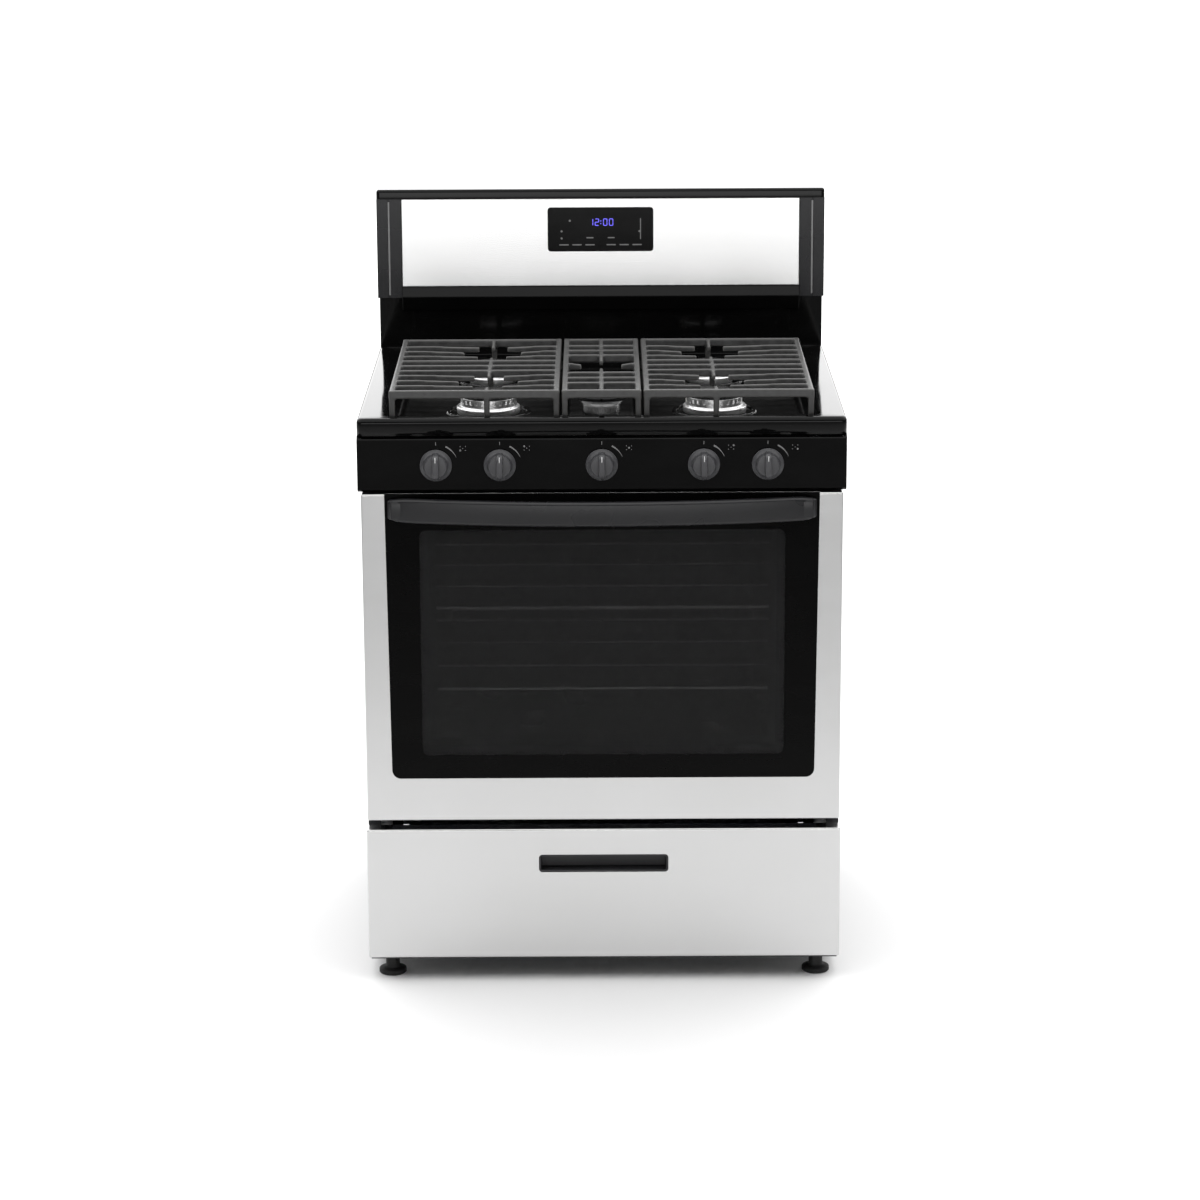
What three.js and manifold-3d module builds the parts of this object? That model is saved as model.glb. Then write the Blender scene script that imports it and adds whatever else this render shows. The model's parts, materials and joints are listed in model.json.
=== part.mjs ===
// Freestanding gas range: cabinet, oven, gas system, cooktop, backguard, oven door and storage drawer.
// Millimetres, +Z up, +X to the viewer's right, front facing -Y, origin on the floor under the centre.
import * as THREE from 'three';
import { mergeVertices } from 'three/addons/utils/BufferGeometryUtils.js';
import Module from 'manifold-3d';

const wasm = await Module();
wasm.setup();

// ---- driving dimensions -------------------------------------------------------------------------
const WIDTH = 759;
const DEPTH = 730;
const HEIGHT = 1191;
const COOKTOP_HEIGHT = 922;
const HANDLE_REACH = 50;
const GAP = 0.4;
const SHEET = 1.5;

const HALF = WIDTH / 2;
const REAR = DEPTH / 2;
const FRONT = -DEPTH / 2 + HANDLE_REACH;
const BODY_FRONT = FRONT + 53;

const SIDE_OUTER = 377;
const SIDE_FLANGE = 20;
const CABINET_REAR = REAR - 4;
const BASE_BOTTOM = 28;
const BASE_TOP = 42;
const BASE_INNER = 326;
const RAIL_TOP = 90;
const FOOT_X = 342;
const FOOT_FRONT_Y = FRONT + 47;
const FOOT_REAR_Y = 330;

const OVEN_HALF = 305;
const OVEN_FLOOR = 325;
const OVEN_CEILING = 770;
const OVEN_BACK = 215;
const FLOOR_PANEL_TOP = 352.5;
const RACK_LEVELS = [396, 463, 530, 597, 664];
const RACK_HALF = 300;
const RACK_FRONT = BODY_FRONT + 22;
const RACK_BACK = OVEN_BACK - 20;
const BURNER_TUBE_RADIUS = 8;
const BURNER_TUBE_HALF = 120;
const BAKE_HEIGHT = 338;
const BROIL_HEIGHT = 746;

const PANEL_BOTTOM = 806;
const PANEL_TOP = 894.6;
const PANEL_DEPTH = 53;
const KNOB_HEIGHT = 849;
const KNOB_XS = [-257, -158, 0, 158, 257];
const STEM_RADIUS = 3.5;
const MANIFOLD_Y = BODY_FRONT + 17;
const MANIFOLD_RADIUS = 9;
const GAS_X = 342;
const GAS_INLET_HEIGHT = 838;
const REGULATOR_Y = 332;
const REGULATOR_RADIUS = 26;
const CORD_X = -250;
const CORD_HEIGHT = 180;

const COOKTOP_BOTTOM = 895;
const COOKTOP_REAR = 303;
const WELL_HALF = 336;
const WELL_FRONT = FRONT + 24;
const WELL_BACK = 222;
const WELL_FLOOR = 908;
const GRATE_TOP = 960;
const GRATE_BAR = 10;
const GRATE_BAR_HEIGHT = 13;
const GRATE_FRONT = FRONT + 29;
const GRATE_BACK = 160;
const GRATE_OUTER = 330;
const FINGER_BAR = 8;
const FINGER_PITCH = 42;
const CENTRE_GRATE_HALF = 62;
const CENTRE_CELL = 75;

const BURNER_X = 178;
const BURNER_FRONT_Y = FRONT + 118;
const BURNER_REAR_Y = FRONT + 367;
const BURNER_CENTRE_Y = FRONT + 255;
const THROAT_RADIUS = 15;
const HEAD_HEIGHT = 26;
const BURNERS = [
  { name: 'front_left', x: -BURNER_X, y: BURNER_FRONT_Y, size: 50 },
  { name: 'front_right', x: BURNER_X, y: BURNER_FRONT_Y, size: 50 },
  { name: 'rear_left', x: -BURNER_X, y: BURNER_REAR_Y, size: 38 },
  { name: 'rear_right', x: BURNER_X, y: BURNER_REAR_Y, size: 38 },
  { name: 'centre', x: 0, y: BURNER_CENTRE_Y, size: 34 },
];

const GUARD_FRONT = 305;
const GUARD_LOWER_HALF = 377;
const FASCIA_HALF = 337.5;
const FASCIA_BOTTOM = 1025;
const FASCIA_TOP = 1175;
const CAP_BOTTOM = 1006;
const VENT_BOTTOM = 983;
const VENT_LIP = 1010;
const GUARD_FACE = GUARD_FRONT - 7;
const DISPLAY_HALF = 89;
const DISPLAY_BOTTOM = 1085;
const DISPLAY_TOP = 1159;

const DOOR_HALF = 375;
const DOOR_BOTTOM = 271;
const DOOR_TOP = 803;
const DOOR_INNER = BODY_FRONT - 4;
const LINER_HALF = 350;
const SIGHT_HALF = 262;
const SIGHT_BOTTOM = 395;
const SIGHT_TOP = 718;
const WINDOW_BOTTOM = 341;
const WINDOW_TOP_HALF = 338.5;
const WINDOW_BOTTOM_HALF = 334;
const WINDOW_CORNER = 14;
const GLASS_BACK = 4.3;
const HINGE_Y = FRONT + 15;
const HINGE_Z = DOOR_BOTTOM + 4;
const HINGE_X = 349;
const HANDLE_HALF = 338;
const HANDLE_BOTTOM = 760;
const HANDLE_TOP = 799;

const DRAWER_BOTTOM = 40;
const DRAWER_TOP = 256;
const DRAWER_BACK = FRONT + 28.6;
const RECESS_HALF = 103;
const RECESS_BOTTOM = 184;
const RECESS_TOP = 213;
const BIN_HALF = 320;
const BIN_BACK = 250;
const BIN_BOTTOM = 58;
const BIN_TOP = 202;

// ---- materials ----------------------------------------------------------------------------------
function finish(color, roughness, metalness, extra = {}) {
  return new THREE.MeshStandardMaterial({ color, roughness, metalness, ...extra });
}
const steel = () => finish(0xc9c9c7, 0.32, 1.0);
const blackEnamel = () => finish(0x141416, 0.12, 0.0);
const satinBlack = () => finish(0x26262a, 0.45, 0.2);
const castIron = () => finish(0x2c2c2e, 0.7, 0.3);
const aluminium = () => finish(0xc4c5c6, 0.35, 1.0);
const galvanised = () => finish(0x8f9497, 0.5, 0.9);
const ovenEnamel = () => finish(0x24252a, 0.3, 0.0);
const chromeWire = () => finish(0xb9bcc0, 0.2, 1.0);
const brass = () => finish(0xb08a4a, 0.35, 1.0);
const rubber = () => finish(0x1b1b1b, 0.9, 0.0);
const darkGlass = () => finish(0x08090a, 0.05, 0.0, { transparent: true, opacity: 0.85 });
const clearGlass = () => finish(0x9aa4a6, 0.05, 0.0, { transparent: true, opacity: 0.35 });

// ---- solids -------------------------------------------------------------------------------------
function toSolid(geometry) {
  const bare = geometry.clone();
  bare.deleteAttribute('normal');
  bare.deleteAttribute('uv');
  const merged = mergeVertices(bare, 1e-4);
  const corners = merged.index.array;
  const triangles = [];
  for (let i = 0; i < corners.length; i += 3) {
    const [a, b, c] = [corners[i], corners[i + 1], corners[i + 2]];
    if (a !== b && b !== c && c !== a) triangles.push(a, b, c);
  }
  const vertProperties = new Float32Array(merged.attributes.position.array);
  const outward = enclosedVolume(vertProperties, triangles) > 0;
  const triVerts = new Uint32Array(outward ? triangles : triangles.reverse());
  return new wasm.Manifold(new wasm.Mesh({ numProp: 3, vertProperties, triVerts }));
}

function enclosedVolume(points, triangles) {
  const at = (i) => new THREE.Vector3().fromArray(points, i * 3);
  let volume = 0;
  for (let i = 0; i < triangles.length; i += 3) {
    volume += at(triangles[i]).dot(at(triangles[i + 1]).cross(at(triangles[i + 2]))) / 6;
  }
  return volume;
}

function toGeometry(solid) {
  const mesh = solid.getMesh();
  const geometry = new THREE.BufferGeometry();
  geometry.setAttribute('position', new THREE.BufferAttribute(new Float32Array(mesh.vertProperties), 3));
  geometry.setIndex(new THREE.BufferAttribute(new Uint32Array(mesh.triVerts), 1));
  geometry.computeVertexNormals();
  return geometry;
}

function join(...solids) {
  return solids.reduce((whole, next) => whole.add(next));
}

function cut(solid, ...tools) {
  return tools.reduce((rest, tool) => rest.subtract(tool), solid);
}

function block(xs, ys, zs) {
  const box = new THREE.BoxGeometry(xs[1] - xs[0], ys[1] - ys[0], zs[1] - zs[0]);
  box.translate((xs[0] + xs[1]) / 2, (ys[0] + ys[1]) / 2, (zs[0] + zs[1]) / 2);
  return toSolid(box);
}

// A block centred on x = 0.
function slab(halfWidth, ys, zs) {
  return block([-halfWidth, halfWidth], ys, zs);
}

const ALONG = { x: [0, 0, -Math.PI / 2], y: [0, 0, 0], z: [Math.PI / 2, 0, 0] };

// A round bar from low to high along one axis; the other two coordinates are its centre.
function bar(axis, radius, centre, span, sides = 16) {
  const geometry = new THREE.CylinderGeometry(radius, radius, span[1] - span[0], sides);
  const [rx, , rz] = ALONG[axis];
  geometry.rotateZ(rz);
  geometry.rotateX(rx);
  const place = new THREE.Vector3(...centre);
  place[axis] = (span[0] + span[1]) / 2;
  geometry.translate(place.x, place.y, place.z);
  return toSolid(geometry);
}

// A profile of [radius, height] points turned about the Z axis.
function turned(profile, sides = 24) {
  const points = profile.map(([radius, height]) => new THREE.Vector2(radius, height));
  const geometry = new THREE.LatheGeometry(points, sides);
  geometry.rotateX(Math.PI / 2);
  return toSolid(geometry);
}

// A closed outline of [y, z] points swept along X between two planes.
function sweptAlongX(outline, xs) {
  const shape = new THREE.Shape(outline.map(([y, z]) => new THREE.Vector2(y, z)));
  const geometry = new THREE.ExtrudeGeometry(shape, { depth: xs[1] - xs[0], bevelEnabled: false });
  geometry.applyMatrix4(new THREE.Matrix4().set(0, 0, 1, xs[0], 1, 0, 0, 0, 0, 1, 0, 0, 0, 0, 0, 1));
  return toSolid(geometry);
}

// A flat outline drawn in X and Z, given a thickness in Y.
function platedInXZ(shape, ys) {
  const geometry = new THREE.ExtrudeGeometry(shape, {
    depth: ys[1] - ys[0], bevelEnabled: false, curveSegments: 5,
  });
  geometry.rotateX(Math.PI / 2);
  geometry.translate(0, ys[1], 0);
  return toSolid(geometry);
}

// A slab with rounded upright corners and rounded top and bottom edges.
function roundedSlab(halfWidth, ys, zs, corner, edge) {
  const [x0, x1, y0, y1] = [-halfWidth + edge, halfWidth - edge, ys[0] + edge, ys[1] - edge];
  const shape = new THREE.Shape();
  shape.moveTo(x0 + corner, y0);
  shape.lineTo(x1 - corner, y0);
  shape.absarc(x1 - corner, y0 + corner, corner, -Math.PI / 2, 0);
  shape.lineTo(x1, y1 - corner);
  shape.absarc(x1 - corner, y1 - corner, corner, 0, Math.PI / 2);
  shape.lineTo(x0 + corner, y1);
  shape.absarc(x0 + corner, y1 - corner, corner, Math.PI / 2, Math.PI);
  shape.lineTo(x0, y0 + corner);
  shape.absarc(x0 + corner, y0 + corner, corner, Math.PI, Math.PI * 1.5);
  const geometry = new THREE.ExtrudeGeometry(shape, {
    depth: zs[1] - zs[0] - 2 * edge,
    bevelEnabled: true,
    bevelSize: edge,
    bevelThickness: edge,
    bevelSegments: 3,
    curveSegments: 3,
  });
  geometry.translate(0, 0, zs[0] + edge);
  return toSolid(geometry);
}

// A round tube following straight runs with rounded turns through the given points.
function tube(points, radius, sides = 8) {
  const stations = points.map((point) => new THREE.Vector3(...point));
  const curve = new THREE.CatmullRomCurve3(stations, false, 'catmullrom', 0.1);
  const section = new THREE.Shape();
  section.absarc(0, 0, radius, 0, Math.PI * 2);
  const geometry = new THREE.ExtrudeGeometry(section, {
    steps: 28, curveSegments: sides / 2, extrudePath: curve,
  });
  return toSolid(geometry);
}

function part(name, solid, material, position = [0, 0, 0]) {
  const mesh = new THREE.Mesh(toGeometry(solid), material);
  mesh.name = name;
  mesh.position.set(...position);
  return mesh;
}

const SIDES = [['left', -1], ['right', 1]];

// Mirrors an X span to one side of the object.
function sided(side, near, far) {
  return side > 0 ? [near, far] : [-far, -near];
}

// ---- cabinet ------------------------------------------------------------------------------------
function sidePanel(side) {
  const inward = sided(side, SIDE_OUTER - SIDE_FLANGE, SIDE_OUTER);
  const upright = [BASE_TOP + 1, PANEL_TOP - 3.6];
  const wall = sided(side, SIDE_OUTER - SHEET, SIDE_OUTER);
  const skin = block(wall, [BODY_FRONT, CABINET_REAR], [BASE_BOTTOM + 2, upright[1]]);
  const front = block(inward, [BODY_FRONT, BODY_FRONT + SHEET], upright);
  const rear = block(inward, [CABINET_REAR - SHEET, CABINET_REAR], upright);
  return join(skin, front, rear);
}

function baseFrame() {
  const outer = SIDE_OUTER - SHEET - GAP;
  const front = DRAWER_BACK + 2;
  const rear = CABINET_REAR - SHEET - GAP;
  const inside = [front + 40, rear - 40];
  const opening = slab(BASE_INNER, inside, [0, RAIL_TOP]);
  const ring = cut(slab(outer, [front, rear], [BASE_BOTTOM, BASE_TOP]), opening);
  const wall = 2;
  const troughOuter = slab(outer - wall, [front + wall, rear - wall], [BASE_BOTTOM + wall, BASE_TOP + wall]);
  const troughInner = slab(BASE_INNER + wall, [inside[0] - wall, inside[1] + wall], [BASE_BOTTOM, RAIL_TOP]);
  let frame = cut(ring, cut(troughOuter, troughInner));
  for (const [, side] of SIDES) {
    const railXs = sided(side, BASE_INNER, BASE_INNER + wall);
    frame = join(frame, block(railXs, [front + 30, BIN_BACK], [BASE_BOTTOM, RAIL_TOP]));
    for (const y of [FOOT_FRONT_Y, FOOT_REAR_Y]) {
      const studHole = bar('z', 5.6, [side * FOOT_X, y, 0], [BASE_BOTTOM - 1, BASE_BOTTOM + wall + 1], 12);
      frame = cut(frame, studHole);
    }
  }
  return frame;
}

function rearCover() {
  const inner = CABINET_REAR + GAP;
  const sheet = slab(SIDE_OUTER - 1, [inner, inner + 1], [BASE_TOP + 2, COOKTOP_BOTTOM - 3]);
  const gasHole = bar('y', 14, [GAS_X, 0, GAS_INLET_HEIGHT], [REAR - 10, REAR], 16);
  const cordHole = bar('y', 8.6, [CORD_X, 0, CORD_HEIGHT], [REAR - 10, REAR], 16);
  return cut(sheet, gasHole, cordHole);
}

function foot() {
  const padRadius = 22;
  const neckRadius = 11;
  const studRadius = 5;
  const neckTop = BASE_BOTTOM - GAP;
  const studTop = BASE_TOP + 8;
  return turned([
    [0, 0], [padRadius, 0], [padRadius, 7], [padRadius - 4, 11], [neckRadius, 12],
    [neckRadius, neckTop], [studRadius, neckTop], [studRadius, studTop], [0, studTop],
  ], 20);
}

// ---- oven ---------------------------------------------------------------------------------------
function ovenLiner() {
  const wall = SHEET;
  const flange = slab(OVEN_HALF + 35, [BODY_FRONT, BODY_FRONT + wall], [DOOR_BOTTOM - 6, DOOR_TOP]);
  const heights = [OVEN_FLOOR - wall, OVEN_CEILING + wall];
  const shell = slab(OVEN_HALF + wall, [BODY_FRONT, OVEN_BACK + wall], heights);
  const cavity = slab(OVEN_HALF, [BODY_FRONT - 1, OVEN_BACK], [OVEN_FLOOR, OVEN_CEILING]);
  let liner = cut(join(flange, shell), cavity);
  const ribDepth = 8;
  const ribHeight = 6;
  for (const level of RACK_LEVELS) {
    for (const [, side] of SIDES) {
      const xs = sided(side, OVEN_HALF - ribDepth, OVEN_HALF + wall / 2);
      const rib = block(xs, [RACK_FRONT + 5, RACK_BACK - 5], [level - GAP - ribHeight, level - GAP]);
      liner = join(liner, rib);
    }
  }
  const burnerHole = bar('y', 10, [BURNER_TUBE_HALF, 0, BAKE_HEIGHT], [OVEN_BACK - 1, OVEN_BACK + 3], 12);
  return cut(liner, burnerHole);
}

// A burner tube folded into a U that opens towards the rear wall.
function ovenBurner(height, front, rearLeft, rearRight) {
  const turn = 26;
  const half = BURNER_TUBE_HALF;
  return tube([
    [-half, rearLeft, height], [-half, front + turn, height], [-half + turn, front, height],
    [half - turn, front, height], [half, front + turn, height], [half, rearRight, height],
  ], BURNER_TUBE_RADIUS);
}

function ovenFloorPanel() {
  const ys = [BODY_FRONT + 12, OVEN_BACK - 8];
  const tray = slab(OVEN_HALF - 2, ys, [OVEN_FLOOR + GAP, FLOOR_PANEL_TOP]);
  const underside = [OVEN_FLOOR, FLOOR_PANEL_TOP - SHEET];
  const under = slab(OVEN_HALF - 2 - SHEET, [ys[0] + SHEET, ys[1] + 1], underside);
  let panel = cut(tray, under);
  const slotLength = 60;
  for (const [, side] of SIDES) {
    for (let row = 0; row < 4; row += 1) {
      const start = ys[0] + 50 + row * (slotLength + 35);
      const slotYs = [start, start + slotLength];
      const slot = block(sided(side, 262, 270), slotYs, [OVEN_FLOOR, FLOOR_PANEL_TOP + 1]);
      panel = cut(panel, slot);
    }
  }
  return panel;
}

// Wire shelf: a heavy border wire, thin wires running front to back and two cross wires under them.
function ovenRack() {
  const border = 6;
  const wire = 3.5;
  const wires = 11;
  const stopHeight = 18;
  const ys = [RACK_FRONT, RACK_BACK];
  const outer = slab(RACK_HALF, ys, [0, border]);
  let rack = cut(outer, slab(RACK_HALF - border, [ys[0] + border, ys[1] - border], [-1, border + 1]));
  const pitch = (2 * RACK_HALF - border) / (wires + 1);
  for (let i = 1; i <= wires; i += 1) {
    const x = -RACK_HALF + border / 2 + i * pitch;
    const span = [x - wire / 2, x + wire / 2];
    rack = join(rack, block(span, [ys[0] + 2, ys[1] - 2], [border - wire - 0.5, border - 0.5]));
  }
  for (const share of [1 / 3, 2 / 3]) {
    const y = ys[0] + share * (ys[1] - ys[0]);
    rack = join(rack, slab(RACK_HALF - 2, [y - wire / 2, y + wire / 2], [0.5, border - wire]));
  }
  const stopY = [ys[1] - border + 1, ys[1] - 1];
  const stopTop = border + stopHeight;
  rack = join(rack, slab(RACK_HALF - 40, stopY, [stopTop - 4, stopTop]));
  for (const [, side] of SIDES) {
    const postXs = sided(side, RACK_HALF - 45, RACK_HALF - 40.5);
    rack = join(rack, block(postXs, stopY, [border - 1, stopTop - 1]));
  }
  return rack;
}

function doorGasket() {
  const width = 9;
  const ys = [DOOR_INNER + GAP, BODY_FRONT - GAP];
  const inner = [OVEN_FLOOR - 8, OVEN_CEILING + 6];
  const hole = slab(OVEN_HALF + 8, [ys[0] - 1, ys[1] + 1], inner);
  return cut(slab(OVEN_HALF + 8 + width, ys, [inner[0] - width, inner[1] + width]), hole);
}

// ---- gas system ---------------------------------------------------------------------------------
function gasManifold() {
  const end = REGULATOR_Y - REGULATOR_RADIUS - GAP;
  const across = bar('x', MANIFOLD_RADIUS, [0, MANIFOLD_Y, KNOB_HEIGHT], [-330, GAS_X], 12);
  const ball = new THREE.SphereGeometry(MANIFOLD_RADIUS + 3, 12, 8);
  const elbow = toSolid(ball.translate(GAS_X, MANIFOLD_Y, KNOB_HEIGHT));
  const back = bar('y', MANIFOLD_RADIUS, [GAS_X, 0, KNOB_HEIGHT], [MANIFOLD_Y, end], 12);
  return join(across, elbow, back);
}

function gasRegulator() {
  const low = GAS_INLET_HEIGHT - 18;
  const body = bar('z', REGULATOR_RADIUS, [GAS_X, REGULATOR_Y, 0], [low, low + 44], 20);
  const cap = bar('z', 14, [GAS_X, REGULATOR_Y, 0], [low + 38, low + 56], 16);
  const inlet = bar('y', 12, [GAS_X, 0, GAS_INLET_HEIGHT], [REGULATOR_Y, REAR - 0.2], 6);
  return join(body, cap, inlet);
}

// Tap body clamped to the manifold, with the round spindle that carries the knob.
function gasValve() {
  const back = MANIFOLD_Y - MANIFOLD_RADIUS - GAP;
  const body = block([-12, 12], [FRONT + 18, back], [-14, 12]);
  const nose = bar('y', 9, [0, 0, 0], [FRONT + 10, FRONT + 20], 12);
  const spindle = bar('y', STEM_RADIUS, [0, 0, 0], [FRONT - 17, FRONT + 12], 10);
  const jet = bar('z', 5, [0, back - 12, 0], [10, 26], 8);
  return join(body, nose, spindle, jet);
}

// Knob modelled with its axis along +Z, dial face up, then turned to face the front.
function knob() {
  const dial = turned([
    [0, 0], [24, 0], [25, 1.5], [25, 5], [23.5, 7], [20, 8.5], [19, 18], [17.5, 20], [0, 20],
  ], 24);
  const grip = block([-5, 5], [-21, 21], [8, 29]);
  const rounding = bar('x', 26, [0, 0, 5], [-8, 8], 32);
  const bore = bar('z', STEM_RADIUS + 0.5, [0, 0, 0], [-1, 18], 10);
  return cut(join(dial, grip.intersect(rounding)), bore);
}

// ---- cooktop ------------------------------------------------------------------------------------
function cooktopPan() {
  const top = COOKTOP_HEIGHT;
  const sheet = 2;
  const full = roundedSlab(HALF, [FRONT, COOKTOP_REAR], [COOKTOP_BOTTOM - 12, top], 2, 7);
  const below = [COOKTOP_BOTTOM - 20, COOKTOP_BOTTOM];
  const body = cut(full, slab(HALF + 1, [FRONT - 1, COOKTOP_REAR + 1], below));
  const hollow = slab(HALF - 2.5, [FRONT + 2.5, COOKTOP_REAR - 2.5], [COOKTOP_BOTTOM - 1, top - sheet - 1]);
  const tub = slab(WELL_HALF + sheet, [WELL_FRONT - sheet, WELL_BACK + sheet], [WELL_FLOOR - sheet, top - 1]);
  const well = roundedSlab(WELL_HALF, [WELL_FRONT, WELL_BACK], [WELL_FLOOR, top + 20], 8, 4);
  let pan = cut(join(cut(body, hollow), tub), well);
  for (const burner of BURNERS) {
    const hole = bar('z', THROAT_RADIUS + 1, [burner.x, burner.y, 0], [WELL_FLOOR - 9, WELL_FLOOR + 6], 16);
    pan = cut(pan, hole);
  }
  return pan;
}

function burnerHead(size) {
  const ring = size * 0.88;
  const low = GAP;
  const seat = HEAD_HEIGHT;
  return turned([
    [0, -18], [THROAT_RADIUS, -18], [THROAT_RADIUS, low], [size, low], [size, 9], [size - 3, 13],
    [ring, 14], [ring, seat], [ring - 5, seat], [ring - 5, 17], [0, 17],
  ], 22);
}

function burnerCap(size) {
  const radius = size * 0.9;
  const low = HEAD_HEIGHT + GAP;
  return turned([
    [0, low], [radius - 2, low], [radius, low + 2.5], [radius - 2, low + 6], [radius - 7, low + 7.5],
    [0, low + 8],
  ], 22);
}

function grateBar(xs, ys) {
  return block(xs, ys, [GRATE_TOP - GRATE_BAR_HEIGHT, GRATE_TOP]);
}

// A bar across the grate, centred on y.
function crossBar(xs, y, width = FINGER_BAR) {
  return grateBar(xs, [y - width / 2, y + width / 2]);
}

function grateRing(xs, ys) {
  const hole = block(
    [xs[0] + GRATE_BAR, xs[1] - GRATE_BAR],
    [ys[0] + GRATE_BAR, ys[1] - GRATE_BAR],
    [0, HEIGHT],
  );
  return cut(grateBar(xs, ys), hole);
}

function grateLeg(x, y) {
  const half = GRATE_BAR / 2;
  return block([x - half, x + half], [y - half, y + half], [WELL_FLOOR + GAP, GRATE_TOP - 2]);
}

// Fingers that point at one burner from four sides and stop around its open centre.
function grateFingers(xs, ys, x, y, reach) {
  const half = FINGER_BAR / 2;
  return join(
    grateBar([x - half, x + half], [ys[0], y - reach]),
    grateBar([x - half, x + half], [y + reach, ys[1]]),
    crossBar([xs[0], x - reach], y),
    crossBar([x + reach, xs[1]], y),
  );
}

// The shorter fingers beside the middle ones, cut back to the same open circle.
function sideFingers(xs, x, y, reach) {
  const start = Math.sqrt(reach ** 2 - FINGER_PITCH ** 2) + FINGER_BAR / 2;
  const fingers = [y - FINGER_PITCH, y + FINGER_PITCH].map((row) => (
    join(crossBar([xs[0], x - start], row), crossBar([x + start, xs[1]], row))
  ));
  return join(...fingers);
}

function sideGrate(side) {
  const xs = sided(side, CENTRE_GRATE_HALF + 3, GRATE_OUTER);
  const ys = [GRATE_FRONT, GRATE_BACK];
  const x = side * BURNER_X;
  const middle = (BURNER_FRONT_Y + BURNER_REAR_Y) / 2;
  const reach = 46;
  let grate = join(grateRing(xs, ys), crossBar(xs, middle, GRATE_BAR));
  grate = join(grate, crossBar(xs, middle - FINGER_PITCH), crossBar(xs, middle + FINGER_PITCH));
  grate = join(grate, grateFingers(xs, [ys[0], middle], x, BURNER_FRONT_Y, reach));
  grate = join(grate, grateFingers(xs, [middle, ys[1]], x, BURNER_REAR_Y, reach));
  grate = join(grate, sideFingers(xs, x, BURNER_FRONT_Y, reach), sideFingers(xs, x, BURNER_REAR_Y, reach));
  const inset = GRATE_BAR / 2;
  for (const legX of [xs[0] + inset, x, xs[1] - inset]) {
    grate = join(grate, grateLeg(legX, ys[0] + inset), grateLeg(legX, ys[1] - inset));
  }
  return join(grate, grateLeg(x, middle));
}

function centreGrate() {
  const half = CENTRE_GRATE_HALF;
  const ys = [GRATE_FRONT, GRATE_BACK];
  const [near, far] = [BURNER_CENTRE_Y - CENTRE_CELL, BURNER_CENTRE_Y + CENTRE_CELL];
  let grate = grateRing([-half, half], ys);
  for (const y of [near, far]) grate = join(grate, crossBar([-half, half], y, GRATE_BAR));
  for (const step of [FINGER_PITCH, 2 * FINGER_PITCH]) {
    grate = join(grate, crossBar([-half, half], near - step), crossBar([-half, half], far + step));
  }
  grate = join(grate, grateFingers([-half, half], [near, far], 0, BURNER_CENTRE_Y, 32));
  const spine = FINGER_BAR / 2;
  grate = join(grate, grateBar([-spine, spine], [ys[0], near]), grateBar([-spine, spine], [far, ys[1]]));
  const inset = GRATE_BAR / 2;
  for (const x of [-half + inset, half - inset]) {
    grate = join(grate, grateLeg(x, ys[0] + inset), grateLeg(x, ys[1] - inset));
  }
  return grate;
}

// ---- control panel ------------------------------------------------------------------------------
function controlPanel() {
  const back = FRONT + PANEL_DEPTH;
  const outline = [
    [FRONT + 5, PANEL_BOTTOM], [back, PANEL_BOTTOM], [back, PANEL_TOP], [FRONT + 6, PANEL_TOP],
    [FRONT, PANEL_TOP - 6], [FRONT, PANEL_BOTTOM + 4],
  ];
  let panel = sweptAlongX(outline, [-HALF, HALF]);
  panel = cut(panel, slab(HALF - 2.5, [FRONT + 2.5, back + 1], [PANEL_BOTTOM + 2.5, PANEL_TOP - 2.5]));
  for (const x of KNOB_XS) {
    panel = cut(panel, bar('y', 7, [x, 0, KNOB_HEIGHT], [FRONT - 1, FRONT + 4], 16));
  }
  return panel;
}

// ---- backguard ----------------------------------------------------------------------------------
function backguardHousing() {
  const lower = slab(GUARD_LOWER_HALF, [GUARD_FRONT, REAR], [COOKTOP_BOTTOM - 2, CAP_BOTTOM - GAP]);
  const upper = slab(FASCIA_HALF, [GUARD_FRONT, REAR], [CAP_BOTTOM - 20, FASCIA_TOP]);
  const wall = SHEET;
  const depth = [GUARD_FRONT + wall, REAR - wall];
  const lowerVoid = slab(GUARD_LOWER_HALF - wall, depth, [COOKTOP_BOTTOM - 3, CAP_BOTTOM - GAP - wall]);
  const upperVoid = slab(FASCIA_HALF - wall, depth, [CAP_BOTTOM - 20, FASCIA_TOP - wall]);
  return cut(join(lower, upper), lowerVoid, upperVoid);
}

function endCap(side) {
  const xs = sided(side, FASCIA_HALF + GAP, HALF);
  const full = block(xs, [GUARD_FACE, REAR], [CAP_BOTTOM, FASCIA_TOP]);
  const hollow = block(
    [xs[0] + SHEET, xs[1] - SHEET],
    [GUARD_FACE + SHEET, REAR + 1],
    [CAP_BOTTOM + SHEET, FASCIA_TOP - SHEET],
  );
  const grooveXs = sided(side, HALF - 21, HALF - 19);
  const groove = block(grooveXs, [GUARD_FACE - 1, GUARD_FACE + 0.8], [CAP_BOTTOM - 1, FASCIA_TOP + 1]);
  return cut(full, hollow, groove);
}

function fascia() {
  const ys = [GUARD_FACE, GUARD_FRONT - GAP];
  const face = slab(FASCIA_HALF, ys, [FASCIA_BOTTOM, FASCIA_TOP]);
  const inside = [FASCIA_BOTTOM + SHEET, FASCIA_TOP - SHEET];
  const hollow = slab(FASCIA_HALF - SHEET, [ys[0] + SHEET, ys[1] + 1], inside);
  const window = [DISPLAY_BOTTOM - GAP, DISPLAY_TOP + GAP];
  const opening = slab(DISPLAY_HALF + GAP, [ys[0] - 1, ys[1] + 1], window);
  return cut(face, hollow, opening);
}

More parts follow.
